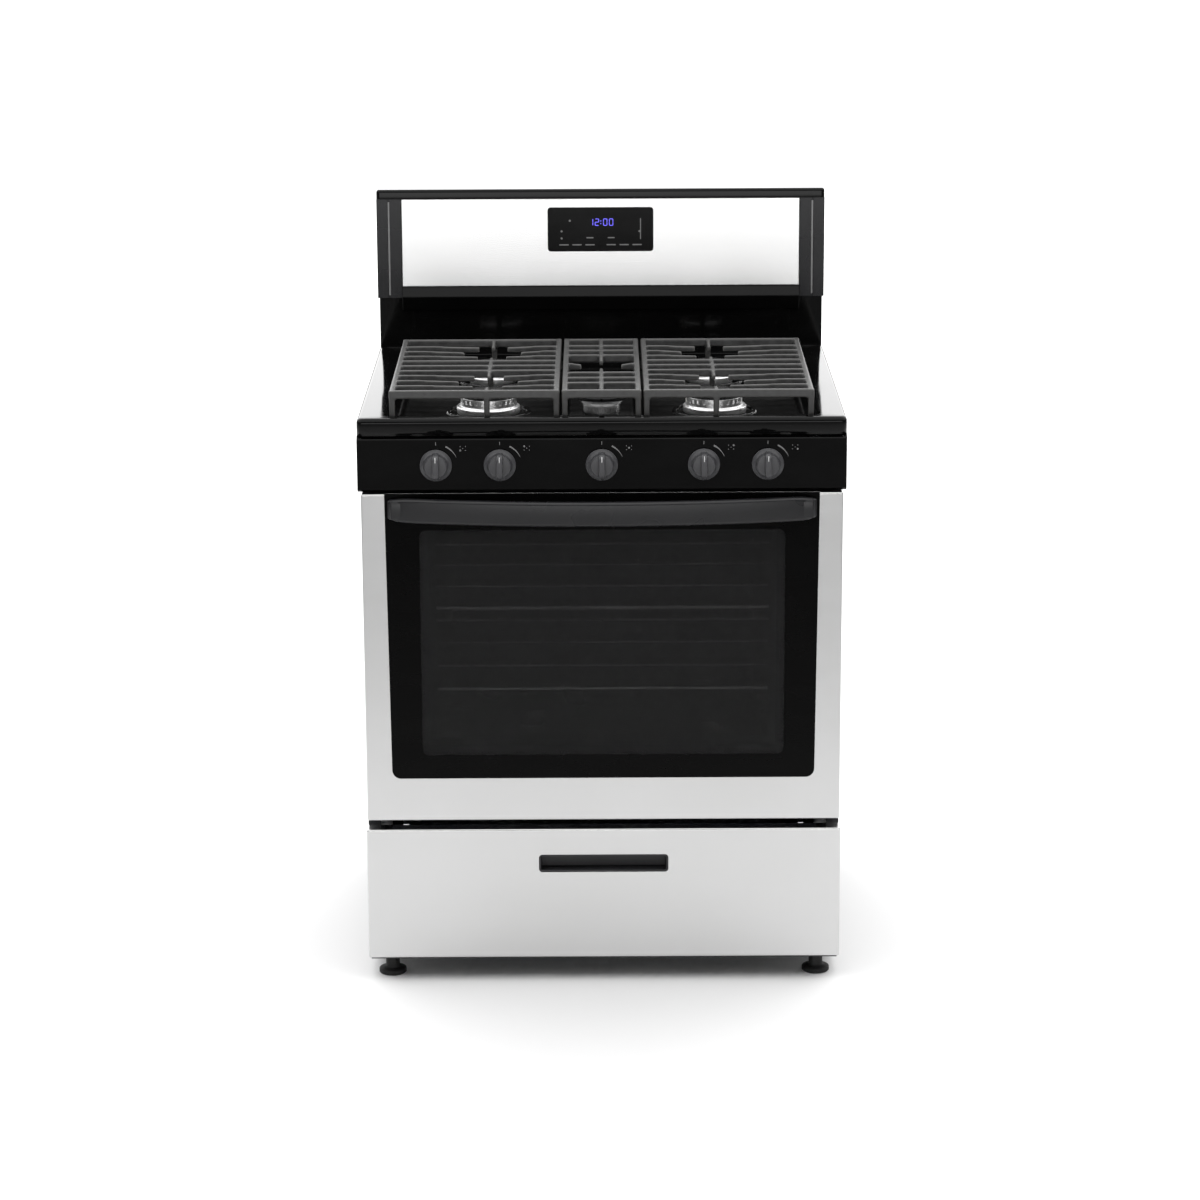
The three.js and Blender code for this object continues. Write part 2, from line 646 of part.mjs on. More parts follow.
function displayGlass() {
  return roundedPlate(DISPLAY_HALF, [DISPLAY_BOTTOM, DISPLAY_TOP], [GUARD_FACE - 1, GUARD_FACE + 4], 5);
}

// A plate standing in X and Z with rounded corners.
function roundedPlate(halfWidth, zs, ys, corner) {
  const shape = new THREE.Shape();
  shape.moveTo(-halfWidth + corner, zs[0]);
  shape.lineTo(halfWidth - corner, zs[0]);
  shape.absarc(halfWidth - corner, zs[0] + corner, corner, -Math.PI / 2, 0);
  shape.lineTo(halfWidth, zs[1] - corner);
  shape.absarc(halfWidth - corner, zs[1] - corner, corner, 0, Math.PI / 2);
  shape.lineTo(-halfWidth + corner, zs[1]);
  shape.absarc(-halfWidth + corner, zs[1] - corner, corner, Math.PI / 2, Math.PI);
  shape.lineTo(-halfWidth, zs[0] + corner);
  shape.absarc(-halfWidth + corner, zs[0] + corner, corner, Math.PI, Math.PI * 1.5);
  return platedInXZ(shape, ys);
}

function ventTrim() {
  const back = GUARD_FRONT - GAP;
  const lip = GUARD_FACE - 10;
  const outline = [
    [back, VENT_BOTTOM], [back, FASCIA_BOTTOM - GAP], [GUARD_FACE, FASCIA_BOTTOM - GAP],
    [lip, VENT_LIP], [lip, VENT_LIP - 4], [GUARD_FACE, VENT_BOTTOM + 2],
  ];
  return sweptAlongX(outline, [-FASCIA_HALF, FASCIA_HALF]);
}

function topTrim() {
  const full = roundedSlab(HALF, [GUARD_FACE - 2, REAR], [FASCIA_TOP - 10, HEIGHT], 2, 5);
  return cut(full, slab(HALF + 1, [GUARD_FACE - 5, REAR + 1], [FASCIA_TOP - 12, FASCIA_TOP + GAP]));
}

// ---- door, in the frame of its hinge axis -------------------------------------------------------
function windowOutline(inset) {
  const top = DOOR_TOP + (inset > 0 ? -GAP : 10);
  const bottom = WINDOW_BOTTOM + inset;
  const topHalf = WINDOW_TOP_HALF - inset;
  const bottomHalf = WINDOW_BOTTOM_HALF - inset;
  const corner = WINDOW_CORNER;
  const shape = new THREE.Shape();
  shape.moveTo(-topHalf, top);
  shape.lineTo(-bottomHalf, bottom + corner);
  shape.absarc(-bottomHalf + corner, bottom + corner, corner, Math.PI, Math.PI * 1.5);
  shape.lineTo(bottomHalf - corner, bottom);
  shape.absarc(bottomHalf - corner, bottom + corner, corner, -Math.PI / 2, 0);
  shape.lineTo(topHalf, top);
  return shape;
}

function doorFrame() {
  const back = FRONT + 30;
  const sheet = SHEET;
  const outer = slab(DOOR_HALF, [FRONT, back], [DOOR_BOTTOM, DOOR_TOP]);
  const hollow = slab(DOOR_HALF - sheet, [FRONT + sheet, back + 1], [DOOR_BOTTOM + sheet, DOOR_TOP - sheet]);
  const opening = platedInXZ(windowOutline(0), [FRONT - 1, FRONT + GLASS_BACK + GAP]);
  let frame = cut(outer, hollow, opening);
  for (const [, side] of SIDES) {
    const slotXs = sided(side, HINGE_X - 9, HINGE_X + 9);
    frame = cut(frame, block(slotXs, [FRONT + 3, back + 1], [DOOR_BOTTOM - 1, DOOR_BOTTOM + 3]));
    for (const x of [HINGE_X - 12, HINGE_X + 10]) {
      const lug = block(sided(side, x, x + 2), [FRONT + 1, FRONT + 24], [DOOR_BOTTOM, DOOR_BOTTOM + 18]);
      frame = join(frame, lug);
    }
    const pinHole = bar('x', 4.4, [0, HINGE_Y, HINGE_Z], sided(side, HINGE_X - 20, HINGE_X + 20), 12);
    frame = cut(frame, pinHole);
  }
  return frame;
}

function doorGlassOuter() {
  return platedInXZ(windowOutline(GAP), [FRONT + 0.3, FRONT + GLASS_BACK]);
}

function doorLiner() {
  const sheet = SHEET;
  const front = FRONT + 22;
  const zs = [DOOR_BOTTOM + 26, DOOR_TOP - 6];
  const outer = slab(LINER_HALF, [front, DOOR_INNER], zs);
  const rim = slab(DOOR_HALF - sheet - GAP, [front, front + sheet], [zs[0], DOOR_TOP - sheet - GAP]);
  const hollow = slab(LINER_HALF - sheet, [front - 1, DOOR_INNER - sheet], [zs[0] + sheet, zs[1] - sheet]);
  const sight = slab(SIGHT_HALF, [front - 1, DOOR_INNER + 1], [SIGHT_BOTTOM, SIGHT_TOP]);
  return cut(join(outer, rim), hollow, sight);
}

function doorGlassInner() {
  const back = DOOR_INNER - SHEET - GAP;
  return slab(SIGHT_HALF + 12, [back - 4, back], [SIGHT_BOTTOM - 12, SIGHT_TOP + 12]);
}

// Bowed grip with a foot at each end that meets the door face.
function doorHandle() {
  const bow = HANDLE_REACH - 13;
  const thick = 15;
  const steps = 16;
  const shape = new THREE.Shape();
  const front = (x) => FRONT - HANDLE_REACH + bow * (x / HANDLE_HALF) ** 2;
  const edge = 3;
  const reach = HANDLE_HALF - edge;
  for (let i = 0; i <= steps; i += 1) {
    const x = -reach + (2 * reach * i) / steps;
    if (i === 0) shape.moveTo(x, front(x) + edge);
    else shape.lineTo(x, front(x) + edge);
  }
  for (let i = steps; i >= 0; i -= 1) {
    const x = -reach + (2 * reach * i) / steps;
    shape.lineTo(x, Math.min(front(x) + thick - edge, FRONT - GAP - edge));
  }
  const geometry = new THREE.ExtrudeGeometry(shape, {
    depth: HANDLE_TOP - HANDLE_BOTTOM - 2 * edge,
    bevelEnabled: true,
    bevelSize: edge,
    bevelThickness: edge,
    bevelSegments: 2,
  });
  geometry.translate(0, 0, HANDLE_BOTTOM + edge);
  let handle = toSolid(geometry);
  for (const [, side] of SIDES) {
    const xs = sided(side, HANDLE_HALF - 34, HANDLE_HALF - 6);
    const post = block(xs, [FRONT - 12, FRONT - GAP], [HANDLE_BOTTOM + 4, HANDLE_TOP - 4]);
    handle = join(handle, post);
  }
  return handle;
}

// Fixed hinge arm: a blade reaching out of the cabinet with the pin that the door turns on.
function hingeArm(side) {
  const bladeXs = sided(side, HINGE_X - 3, HINGE_X + 3);
  const blade = block(bladeXs, [HINGE_Y - 8, BODY_FRONT + 90], [HINGE_Z - 7, HINGE_Z + 7]);
  const pin = bar('x', 4, [0, HINGE_Y, HINGE_Z], sided(side, HINGE_X - 13, HINGE_X + 13), 12);
  return join(blade, pin);
}

// ---- drawer -------------------------------------------------------------------------------------
function drawerFront() {
  const sheet = SHEET;
  const outer = slab(SIDE_OUTER, [FRONT, DRAWER_BACK], [DRAWER_BOTTOM, DRAWER_TOP]);
  const inside = [DRAWER_BOTTOM + sheet, DRAWER_TOP - sheet];
  const hollow = slab(SIDE_OUTER - sheet, [FRONT + sheet, DRAWER_BACK + 1], inside);
  const recess = roundedPlate(RECESS_HALF, [RECESS_BOTTOM, RECESS_TOP], [FRONT - 1, FRONT + sheet + 1], 5);
  return cut(outer, hollow, recess);
}

function drawerGrip() {
  const deep = FRONT + 25;
  const zs = [RECESS_BOTTOM + GAP, RECESS_TOP - GAP];
  const body = roundedPlate(RECESS_HALF - GAP, zs, [FRONT + 0.3, deep], 5);
  const pocket = slab(RECESS_HALF - 3, [FRONT - 1, deep - 2], [RECESS_BOTTOM + 3, RECESS_TOP - 3]);
  return cut(body, pocket);
}

function drawerBin() {
  const front = DRAWER_BACK + GAP;
  const outer = slab(BIN_HALF, [front, BIN_BACK], [BIN_BOTTOM, BIN_TOP]);
  const hollow = slab(BIN_HALF - 1, [front + 1, BIN_BACK - 1], [BIN_BOTTOM + 1, BIN_TOP + 1]);
  let bin = cut(outer, hollow);
  for (const [, side] of SIDES) {
    const glideXs = sided(side, BIN_HALF - 0.5, BASE_INNER + 8);
    bin = join(bin, block(glideXs, [front + 12, BIN_BACK], [RAIL_TOP + GAP, RAIL_TOP + GAP + 2]));
  }
  return bin;
}

// ---- assembly -----------------------------------------------------------------------------------
const range = new THREE.Group();

function cabinet() {
  const group = new THREE.Group();
  for (const [name, side] of SIDES) group.add(part(`side_panel_${name}`, sidePanel(side), satinBlack()));
  group.add(part('rear_cover', rearCover(), galvanised()));
  group.add(part('base_frame', baseFrame(), satinBlack()));
  for (const [name, side] of SIDES) {
    group.add(part(`foot_front_${name}`, foot(), rubber(), [side * FOOT_X, FOOT_FRONT_Y, 0]));
    group.add(part(`foot_rear_${name}`, foot(), rubber(), [side * FOOT_X, FOOT_REAR_Y, 0]));
  }
  const glandProfile = [[0, 0], [12, 0], [12, 1.6], [8, 2], [8, 7], [0, 7]];
  const gland = part('cord_gland', turned(glandProfile, 16), rubber(), [CORD_X, REAR - 0.2, CORD_HEIGHT]);
  gland.rotation.x = Math.PI / 2;
  group.add(gland);
  return group;
}

function oven() {
  const group = new THREE.Group();
  group.add(part('oven_liner', ovenLiner(), ovenEnamel()));
  group.add(part('oven_floor_panel', ovenFloorPanel(), ovenEnamel()));
  const inside = OVEN_BACK - 4;
  group.add(part('bake_burner', ovenBurner(BAKE_HEIGHT, -190, 150, OVEN_BACK + 20), galvanised()));
  group.add(part('broil_burner', ovenBurner(BROIL_HEIGHT, -170, inside, inside), galvanised()));
  group.add(part('rack_lower', ovenRack(), chromeWire(), [0, 0, RACK_LEVELS[1]]));
  group.add(part('rack_upper', ovenRack(), chromeWire(), [0, 0, RACK_LEVELS[3]]));
  group.add(part('door_gasket', doorGasket(), rubber()));
  for (const [name, side] of SIDES) group.add(part(`hinge_arm_${name}`, hingeArm(side), galvanised()));
  return group;
}

function gasControls() {
  const group = new THREE.Group();
  group.add(part('control_panel', controlPanel(), blackEnamel()));
  group.add(part('gas_manifold', gasManifold(), galvanised()));
  group.add(part('gas_regulator', gasRegulator(), brass()));
  KNOB_XS.forEach((x, i) => {
    group.add(part(`gas_valve_${i + 1}`, gasValve(), brass(), [x, 0, KNOB_HEIGHT]));
    const dial = part(`knob_${i + 1}`, knob(), satinBlack(), [x, FRONT - GAP, KNOB_HEIGHT]);
    dial.rotation.x = Math.PI / 2;
    group.add(dial);
  });
  return group;
}

function cooktop() {
  const group = new THREE.Group();
  group.add(part('cooktop_pan', cooktopPan(), blackEnamel()));
  for (const burner of BURNERS) {
    const place = [burner.x, burner.y, WELL_FLOOR];
    group.add(part(`burner_head_${burner.name}`, burnerHead(burner.size), aluminium(), place));
    group.add(part(`burner_cap_${burner.name}`, burnerCap(burner.size), castIron(), place));
  }
  for (const [name, side] of SIDES) group.add(part(`grate_${name}`, sideGrate(side), castIron()));
  group.add(part('grate_centre', centreGrate(), castIron()));
  return group;
}

function backguard() {
  const group = new THREE.Group();
  group.add(part('backguard_housing', backguardHousing(), blackEnamel()));
  for (const [name, side] of SIDES) group.add(part(`end_cap_${name}`, endCap(side), satinBlack()));
  group.add(part('top_trim', topTrim(), blackEnamel()));
  group.add(part('fascia', fascia(), steel()));
  group.add(part('display_glass', displayGlass(), darkGlass()));
  group.add(part('vent_trim', ventTrim(), satinBlack()));
  return group;
}

function door() {
  const group = new THREE.Group();
  group.add(part('door_frame', doorFrame(), steel()));
  group.add(part('door_glass_outer', doorGlassOuter(), darkGlass()));
  group.add(part('door_liner', doorLiner(), ovenEnamel()));
  group.add(part('door_glass_inner', doorGlassInner(), clearGlass()));
  group.add(part('door_handle', doorHandle(), satinBlack()));
  return group;
}

function drawer() {
  const group = new THREE.Group();
  group.add(part('drawer_front', drawerFront(), steel()));
  group.add(part('drawer_bin', drawerBin(), galvanised()));
  group.add(part('drawer_grip', drawerGrip(), satinBlack()));
  return group;
}

range.add(cabinet(), oven(), gasControls(), cooktop(), backguard(), door(), drawer());

export default range;
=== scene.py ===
import json
import math

import bmesh
import bpy
from mathutils import Matrix, Vector


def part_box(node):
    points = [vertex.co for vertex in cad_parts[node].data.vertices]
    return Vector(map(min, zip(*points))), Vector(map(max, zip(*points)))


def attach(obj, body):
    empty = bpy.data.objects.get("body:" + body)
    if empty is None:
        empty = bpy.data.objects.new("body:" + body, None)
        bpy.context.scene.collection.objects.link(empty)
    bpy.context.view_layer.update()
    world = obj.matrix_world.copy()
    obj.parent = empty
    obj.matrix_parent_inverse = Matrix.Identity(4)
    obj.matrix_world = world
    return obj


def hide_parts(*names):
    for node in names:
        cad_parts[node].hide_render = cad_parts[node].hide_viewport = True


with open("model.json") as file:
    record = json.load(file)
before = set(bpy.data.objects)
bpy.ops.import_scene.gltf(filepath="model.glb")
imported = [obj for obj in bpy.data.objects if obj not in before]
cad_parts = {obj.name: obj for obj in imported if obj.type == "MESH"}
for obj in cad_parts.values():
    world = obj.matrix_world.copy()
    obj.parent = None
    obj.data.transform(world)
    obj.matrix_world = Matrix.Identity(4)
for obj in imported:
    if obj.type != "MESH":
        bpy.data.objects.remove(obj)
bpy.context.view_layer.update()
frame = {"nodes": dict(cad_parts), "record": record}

MM = 0.001
SIDES = (("left", -1), ("right", 1))
BURNERS = ("front_left", "front_right", "rear_left", "rear_right", "centre")
NODE_BODY = {node: body for body, nodes in frame["record"]["behaviour"]["bodies"].items() for node in nodes}
NODE_SLOT = {entry["node"]: entry["material_slot"] for entry in frame["record"]["subparts"]}


# ---- node-based materials -----------------------------------------------------------------------
class Nodes:
    """A small builder for one material's node tree."""

    def __init__(self, name):
        self.material = bpy.data.materials.new(name)
        self.material.use_nodes = True
        self.tree = self.material.node_tree
        self.shader = self.tree.nodes["Principled BSDF"]
        self.coords = self.add("ShaderNodeTexCoord").outputs["Object"]

    def add(self, kind, **values):
        node = self.tree.nodes.new(kind)
        for key, value in values.items():
            setattr(node, key, value)
        return node

    def link(self, source, target):
        self.tree.links.new(source, target)

    def set(self, **values):
        for key, value in values.items():
            self.shader.inputs[key.replace("_", " ")].default_value = value

    def scaled(self, scale):
        mapping = self.add("ShaderNodeMapping")
        mapping.inputs["Scale"].default_value = scale
        self.link(self.coords, mapping.inputs["Vector"])
        return mapping.outputs["Vector"]

    def noise(self, scale=(1, 1, 1), size=10.0, detail=3.0, roughness=0.5):
        node = self.add("ShaderNodeTexNoise")
        node.inputs["Scale"].default_value = size
        node.inputs["Detail"].default_value = detail
        node.inputs["Roughness"].default_value = roughness
        self.link(self.scaled(scale), node.inputs["Vector"])
        return node.outputs["Fac"]

    def remap(self, value, low, high, new_low, new_high):
        node = self.add("ShaderNodeMapRange")
        node.inputs["From Min"].default_value = low
        node.inputs["From Max"].default_value = high
        node.inputs["To Min"].default_value = new_low
        node.inputs["To Max"].default_value = new_high
        self.link(value, node.inputs["Value"])
        return node.outputs["Result"]

    def math(self, operation, first, second=None):
        node = self.add("ShaderNodeMath", operation=operation)
        for socket, value in zip(node.inputs, (first, second)):
            if value is None:
                continue
            if isinstance(value, (int, float)):
                socket.default_value = value
            else:
                self.link(value, socket)
        return node.outputs["Value"]

    def mix_colour(self, factor, first, second):
        node = self.add("ShaderNodeMix", data_type="RGBA")
        self.link(factor, node.inputs["Factor"])
        for name, value in (("A", first), ("B", second)):
            socket = [s for s in node.inputs if s.name == name and s.type == "RGBA"][0]
            if isinstance(value, tuple):
                socket.default_value = (*value, 1.0)
            else:
                self.link(value, socket)
        return [s for s in node.outputs if s.type == "RGBA"][0]

    def bump(self, height, strength, distance):
        node = self.add("ShaderNodeBump")
        node.inputs["Strength"].default_value = strength
        node.inputs["Distance"].default_value = distance
        self.link(height, node.inputs["Height"])
        self.link(node.outputs["Normal"], self.shader.inputs["Normal"])

    def colour(self, value):
        self.link(value, self.shader.inputs["Base Color"])

    def rough(self, value):
        self.link(value, self.shader.inputs["Roughness"])


def grey(value):
    return (value, value, value)


def brushed_steel(name, tone=0.62, low=0.20, high=0.25):
    """Stainless sheet with its grain along X: fine scratches, soft cloudy variation."""
    n = Nodes(name)
    n.set(Metallic=1.0)
    fine = n.noise((3, 900, 900), 1.0, 4.0, 0.65)
    broad = n.noise((1.2, 60, 60), 1.0, 3.0, 0.6)
    cloud = n.noise((1, 1, 1), 5.0, 2.0)
    grain = n.math("ADD", n.math("MULTIPLY", fine, 0.7), n.math("MULTIPLY", broad, 0.3))
    n.rough(n.remap(grain, 0.3, 0.7, low, high))
    light = n.math("ADD", n.math("MULTIPLY", grain, 0.6), n.math("MULTIPLY", cloud, 0.4))
    shade = n.remap(light, 0.35, 0.65, 0.0, 1.0)
    dark = (tone * 0.97, tone * 0.97, tone * 0.965)
    n.colour(n.mix_colour(shade, dark, grey(tone * 1.02)))
    n.bump(fine, 0.03, 0.0002)
    return n.material


def gloss_enamel(name, tone=0.006, rough=0.07, level=0.25):
    """Fired black enamel: deep gloss, faint orange peel and a few duller patches."""
    n = Nodes(name)
    n.set(Specular_IOR_Level=level)
    peel = n.noise((1, 1, 1), 260.0, 2.0)
    smear = n.noise((1, 1, 2.5), 9.0, 4.0, 0.6)
    n.rough(n.remap(smear, 0.35, 0.75, rough, rough + 0.06))
    n.colour(n.mix_colour(n.remap(smear, 0.4, 0.7, 0, 1), grey(tone), grey(tone * 1.5)))
    n.bump(peel, 0.05, 0.0003)
    return n.material


def satin_paint(name, colour, low=0.38, high=0.5, grain=900.0, level=0.35, strength=0.12):
    """Baked paint or moulded plastic with a fine grain."""
    n = Nodes(name)
    n.set(Specular_IOR_Level=level)
    fine = n.noise((1, 1, 1), grain, 2.0)
    cloud = n.noise((1, 1, 1), 7.0, 3.0)
    n.rough(n.remap(cloud, 0.35, 0.65, low, high))
    brighter = tuple(min(1.0, c * 1.2) for c in colour)
    n.colour(n.mix_colour(n.remap(cloud, 0.3, 0.7, 0, 1), colour, brighter))
    n.bump(fine, strength, 0.0004)
    return n.material


def cast_iron():
    """Enamelled cast iron: pebbled surface, its convex edges lightened as a painted highlight."""
    n = Nodes("cast_iron_look")
    n.set(Specular_IOR_Level=0.45)
    pebble = n.noise((1, 1, 1), 700.0, 4.0, 0.6)
    lump = n.noise((1, 1, 1), 90.0, 3.0)
    # Painted highlight: convex edges, found by pointiness, are mixed towards a pale warm grey to stand in for
    # light caught on the bar edges.
    point = n.add("ShaderNodeNewGeometry").outputs["Pointiness"]
    edge = n.remap(point, 0.50, 0.60, 0.0, 1.0)
    base = n.mix_colour(n.remap(lump, 0.3, 0.7, 0, 1), grey(0.024), grey(0.042))
    n.colour(n.mix_colour(n.math("MULTIPLY", edge, 0.6), base, (0.11, 0.107, 0.10)))
    both = n.math("ADD", n.math("MULTIPLY", pebble, 0.5), n.math("MULTIPLY", lump, 0.5))
    n.rough(n.remap(both, 0.35, 0.65, 0.34, 0.52))
    height = n.math("ADD", pebble, n.math("MULTIPLY", lump, 0.8))
    n.bump(height, 0.22, 0.0005)
    return n.material


def cast_metal(name, tone, low, high, tint=(1.0, 1.0, 1.0), metallic=1.0, stain=0.2):
    """Die-cast or galvanised metal: granular, with soft stains."""
    n = Nodes(name)
    n.set(Metallic=metallic)
    fine = n.noise((1, 1, 1), 650.0, 3.0, 0.6)
    cloud = n.noise((1, 1, 1), 38.0, 4.0, 0.6)
    n.rough(n.remap(cloud, 0.3, 0.7, low, high))
    light = tuple(tone * t for t in tint)
    dark = tuple(c * (1 - stain) for c in light)
    n.colour(n.mix_colour(n.remap(cloud, 0.35, 0.7, 0, 1), light, dark))
    n.bump(fine, 0.15, 0.0003)
    return n.material


def zinc_sheet():
    """Galvanised sheet with its spangle of crystal patches."""
    n = Nodes("zinc_sheet")
    n.set(Metallic=0.9)
    cells = n.add("ShaderNodeTexVoronoi")
    cells.inputs["Scale"].default_value = 95.0
    n.link(n.scaled((1, 1, 1)), cells.inputs["Vector"])
    split = n.add("ShaderNodeSeparateColor")
    n.link(cells.outputs["Color"], split.inputs["Color"])
    patch = split.outputs["Red"]
    n.rough(n.remap(patch, 0, 1, 0.34, 0.52))
    n.colour(n.mix_colour(patch, (0.34, 0.355, 0.37), (0.46, 0.475, 0.49)))
    n.bump(n.noise((1, 1, 1), 400.0, 2.0), 0.08, 0.0003)
    return n.material


def speckled_enamel():
    """Dark oven porcelain with pale specks."""
    n = Nodes("speckled_enamel")
    n.set(Specular_IOR_Level=0.45)
    specks = n.noise((1, 1, 1), 850.0, 1.0)
    mask = n.remap(specks, 0.68, 0.74, 0.0, 1.0)
    n.colour(n.mix_colour(mask, (0.022, 0.024, 0.032), (0.30, 0.31, 0.34)))
    n.rough(n.remap(n.noise((1, 1, 1), 12.0, 3.0), 0.3, 0.7, 0.16, 0.3))
    n.bump(n.noise((1, 1, 1), 180.0, 2.0), 0.05, 0.0004)
    return n.material


def woven_glass():
    """Braided fibre-glass gasket."""
    n = Nodes("woven_glass")
    wave = n.add("ShaderNodeTexWave", wave_type="BANDS", bands_direction="DIAGONAL")
    wave.inputs["Scale"].default_value = 180.0
    n.link(n.scaled((1, 1, 1)), wave.inputs["Vector"])
    n.colour(n.mix_colour(wave.outputs["Fac"], grey(0.10), grey(0.24)))
    n.set(Roughness=0.9)
    n.bump(wave.outputs["Fac"], 0.5, 0.0008)
    return n.material


def tinted_pane(name, colour, alpha, rough=0.03, level=0.25):
    """A flat pane that lets some light straight through."""
    n = Nodes(name)
    n.set(Specular_IOR_Level=level)
    smear = n.noise((1, 1, 1.6), 8.0, 4.0, 0.6)
    n.rough(n.remap(smear, 0.4, 0.75, rough, rough + 0.05))
    n.colour(n.mix_colour(smear, colour, tuple(c * 1.3 for c in colour)))
    n.shader.inputs["Alpha"].default_value = alpha
    return n.material


def glowing(name, colour, strength):
    n = Nodes(name)
    flicker = n.noise((1, 1, 1), 300.0, 1.0)
    n.colour(n.mix_colour(flicker, colour, tuple(c * 0.8 for c in colour)))
    n.set(Roughness=0.4)
    n.shader.inputs["Emission Color"].default_value = (*colour, 1.0)
    n.shader.inputs["Emission Strength"].default_value = strength
    return n.material


LOOK = {
    "brushed_steel_skin": brushed_steel("brushed_steel_look", 0.60),
    "black_enamel": gloss_enamel("black_enamel_look", 0.0018, 0.06, 0.13),
    "satin_black_paint": satin_paint("satin_black_look", (0.018, 0.018, 0.020), 0.32, 0.42),
    "cast_iron": cast_iron(),
    "burner_aluminium": cast_metal("burner_aluminium_look", 0.86, 0.25, 0.38, stain=0.12),
    "cap_enamel": satin_paint("cap_enamel_look", grey(0.010), 0.22, 0.34, 500.0, 0.4, 0.08),
    "galvanised_sheet": zinc_sheet(),
    "oven_enamel": speckled_enamel(),
    "rack_wire": cast_metal("rack_wire_look", 0.85, 0.16, 0.28, stain=0.06),
    "brass_fitting": cast_metal("brass_look", 0.62, 0.25, 0.4, (1.0, 0.76, 0.38)),
    "black_rubber": satin_paint("rubber_look", grey(0.012), 0.55, 0.75, 600.0, 0.3, 0.2),
    "gasket_fibre": woven_glass(),
    "dark_glass": gloss_enamel("glass_border_look", 0.0014, 0.03, 0.06),
    "clear_glass": tinted_pane("inner_pane_look", (0.05, 0.055, 0.055), 0.22),
    "display_glass": gloss_enamel("display_window_look", 0.003, 0.03, 0.1),
    "knob_plastic": satin_paint("knob_plastic_look", (0.042, 0.042, 0.045), 0.34, 0.46, 800.0, 0.4, 0.10),
    "handle_satin": satin_paint("handle_look", (0.011, 0.011, 0.012), 0.26, 0.34, 900.0, 0.32, 0.06),
    "grip_plastic": satin_paint("grip_plastic_look", (0.022, 0.022, 0.024), 0.4, 0.55, 500.0, 0.35, 0.25),
    "end_cap_plastic": satin_paint("end_cap_look", (0.006, 0.006, 0.007), 0.14, 0.22, 400.0, 0.25, 0.05),
}
WINDOW_TINT = tinted_pane("window_tint_look", (0.014, 0.014, 0.014), 0.5, level=0.1)
MARK_GREY = satin_paint("mark_grey", grey(0.16), 0.45, 0.6, 900.0, 0.3, 0.05)
MARK_WHITE = satin_paint("mark_white", grey(0.55), 0.4, 0.5, 900.0, 0.3, 0.05)
CLOCK_BLUE = glowing("clock_blue", (0.14, 0.12, 0.9), 0.9)
CERAMIC = satin_paint("electrode_ceramic", (0.72, 0.70, 0.66), 0.25, 0.35, 400.0, 0.5, 0.04)
SCREW_STEEL = cast_metal("screw_steel", 0.5, 0.25, 0.4)
HINGE_STEEL = cast_metal("hinge_steel", 0.10, 0.35, 0.5)
NODE_LOOK = {"vent_trim": LOOK["black_enamel"], "hinge_arm_left": HINGE_STEEL, "hinge_arm_right": HINGE_STEEL}


# ---- mesh helpers -------------------------------------------------------------------------------
def finish_mesh(bm, name, smooth_angle=35.0):
    bmesh.ops.remove_doubles(bm, verts=bm.verts, dist=1e-6)
    bmesh.ops.recalc_face_normals(bm, faces=bm.faces)
    mesh = bpy.data.meshes.new(name)
    bm.to_mesh(mesh)
    bm.free()
    for polygon in mesh.polygons:
        polygon.use_smooth = True
    mesh.set_sharp_from_angle(angle=math.radians(smooth_angle))
    return mesh


def place(name, mesh, node, material=None, replaced=(), matrix=None):
    """Makes a piece from a mesh. It rides with the node's body and, unless given a material, wears the look
    of that node's slot.
    """
    piece = bpy.data.objects.new(name, mesh)
    bpy.context.scene.collection.objects.link(piece)
    if not mesh.materials:
        mesh.materials.append(material or LOOK[NODE_SLOT[node]])
    if matrix is not None:
        piece.matrix_world = matrix
    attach(piece, NODE_BODY[node])
    if replaced:
        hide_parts(*replaced)
    return piece


def block_mesh(bm, low, high, radius=0.0, segments=3):
    """Adds a block between two corners, its edges rounded."""
    made = bmesh.ops.create_cube(bm, size=1.0)["verts"]
    low, high = Vector(low), Vector(high)
    size, middle = high - low, (high + low) / 2
    for vert in made:
        vert.co = Vector(vert.co[i] * size[i] + middle[i] for i in range(3))
    if radius > 0:
        edges = list({edge for vert in made for edge in vert.link_edges})
        bmesh.ops.bevel(bm, geom=edges, offset=radius, segments=segments, profile=0.5, affect="EDGES")


def lathe_mesh(bm, profile, sides=64, wobble=None):
    """Adds a profile of (radius, height) points turned about Z. Its ends are closed on the axis."""
    rings = []
    for radius, height in profile:
        ring = []
        for i in range(sides):
            turn = 2 * math.pi * i / sides
            reach = wobble(radius, height, i) if wobble else radius
            ring.append(bm.verts.new((reach * math.cos(turn), reach * math.sin(turn), height)))
        rings.append(ring)
    for lower, upper in zip(rings, rings[1:]):
        for i in range(sides):
            j = (i + 1) % sides
            bm.faces.new((lower[i], lower[j], upper[j], upper[i]))
    bm.faces.new(reversed(rings[0]))
    bm.faces.new(rings[-1])


def arc(centre, radius, start, end, steps):
    """Points on a circle in a plane, with angles in degrees."""
    points = []
    for i in range(steps + 1):
        turn = math.radians(start + (end - start) * i / steps)
        points.append((centre[0] + radius * math.cos(turn), centre[1] + radius * math.sin(turn)))
    return points


def rounded_outline(low, high, corner, steps=6):
    """A rectangle's outline with round corners, anticlockwise."""
    points = []
    turns = (((high[0] - corner, low[1] + corner), -90), ((high[0] - corner, high[1] - corner), 0),
             ((low[0] + corner, high[1] - corner), 90), ((low[0] + corner, low[1] + corner), 180))
    for centre, start in turns:
        points += arc(centre, corner, start, start + 90, steps)
    return points


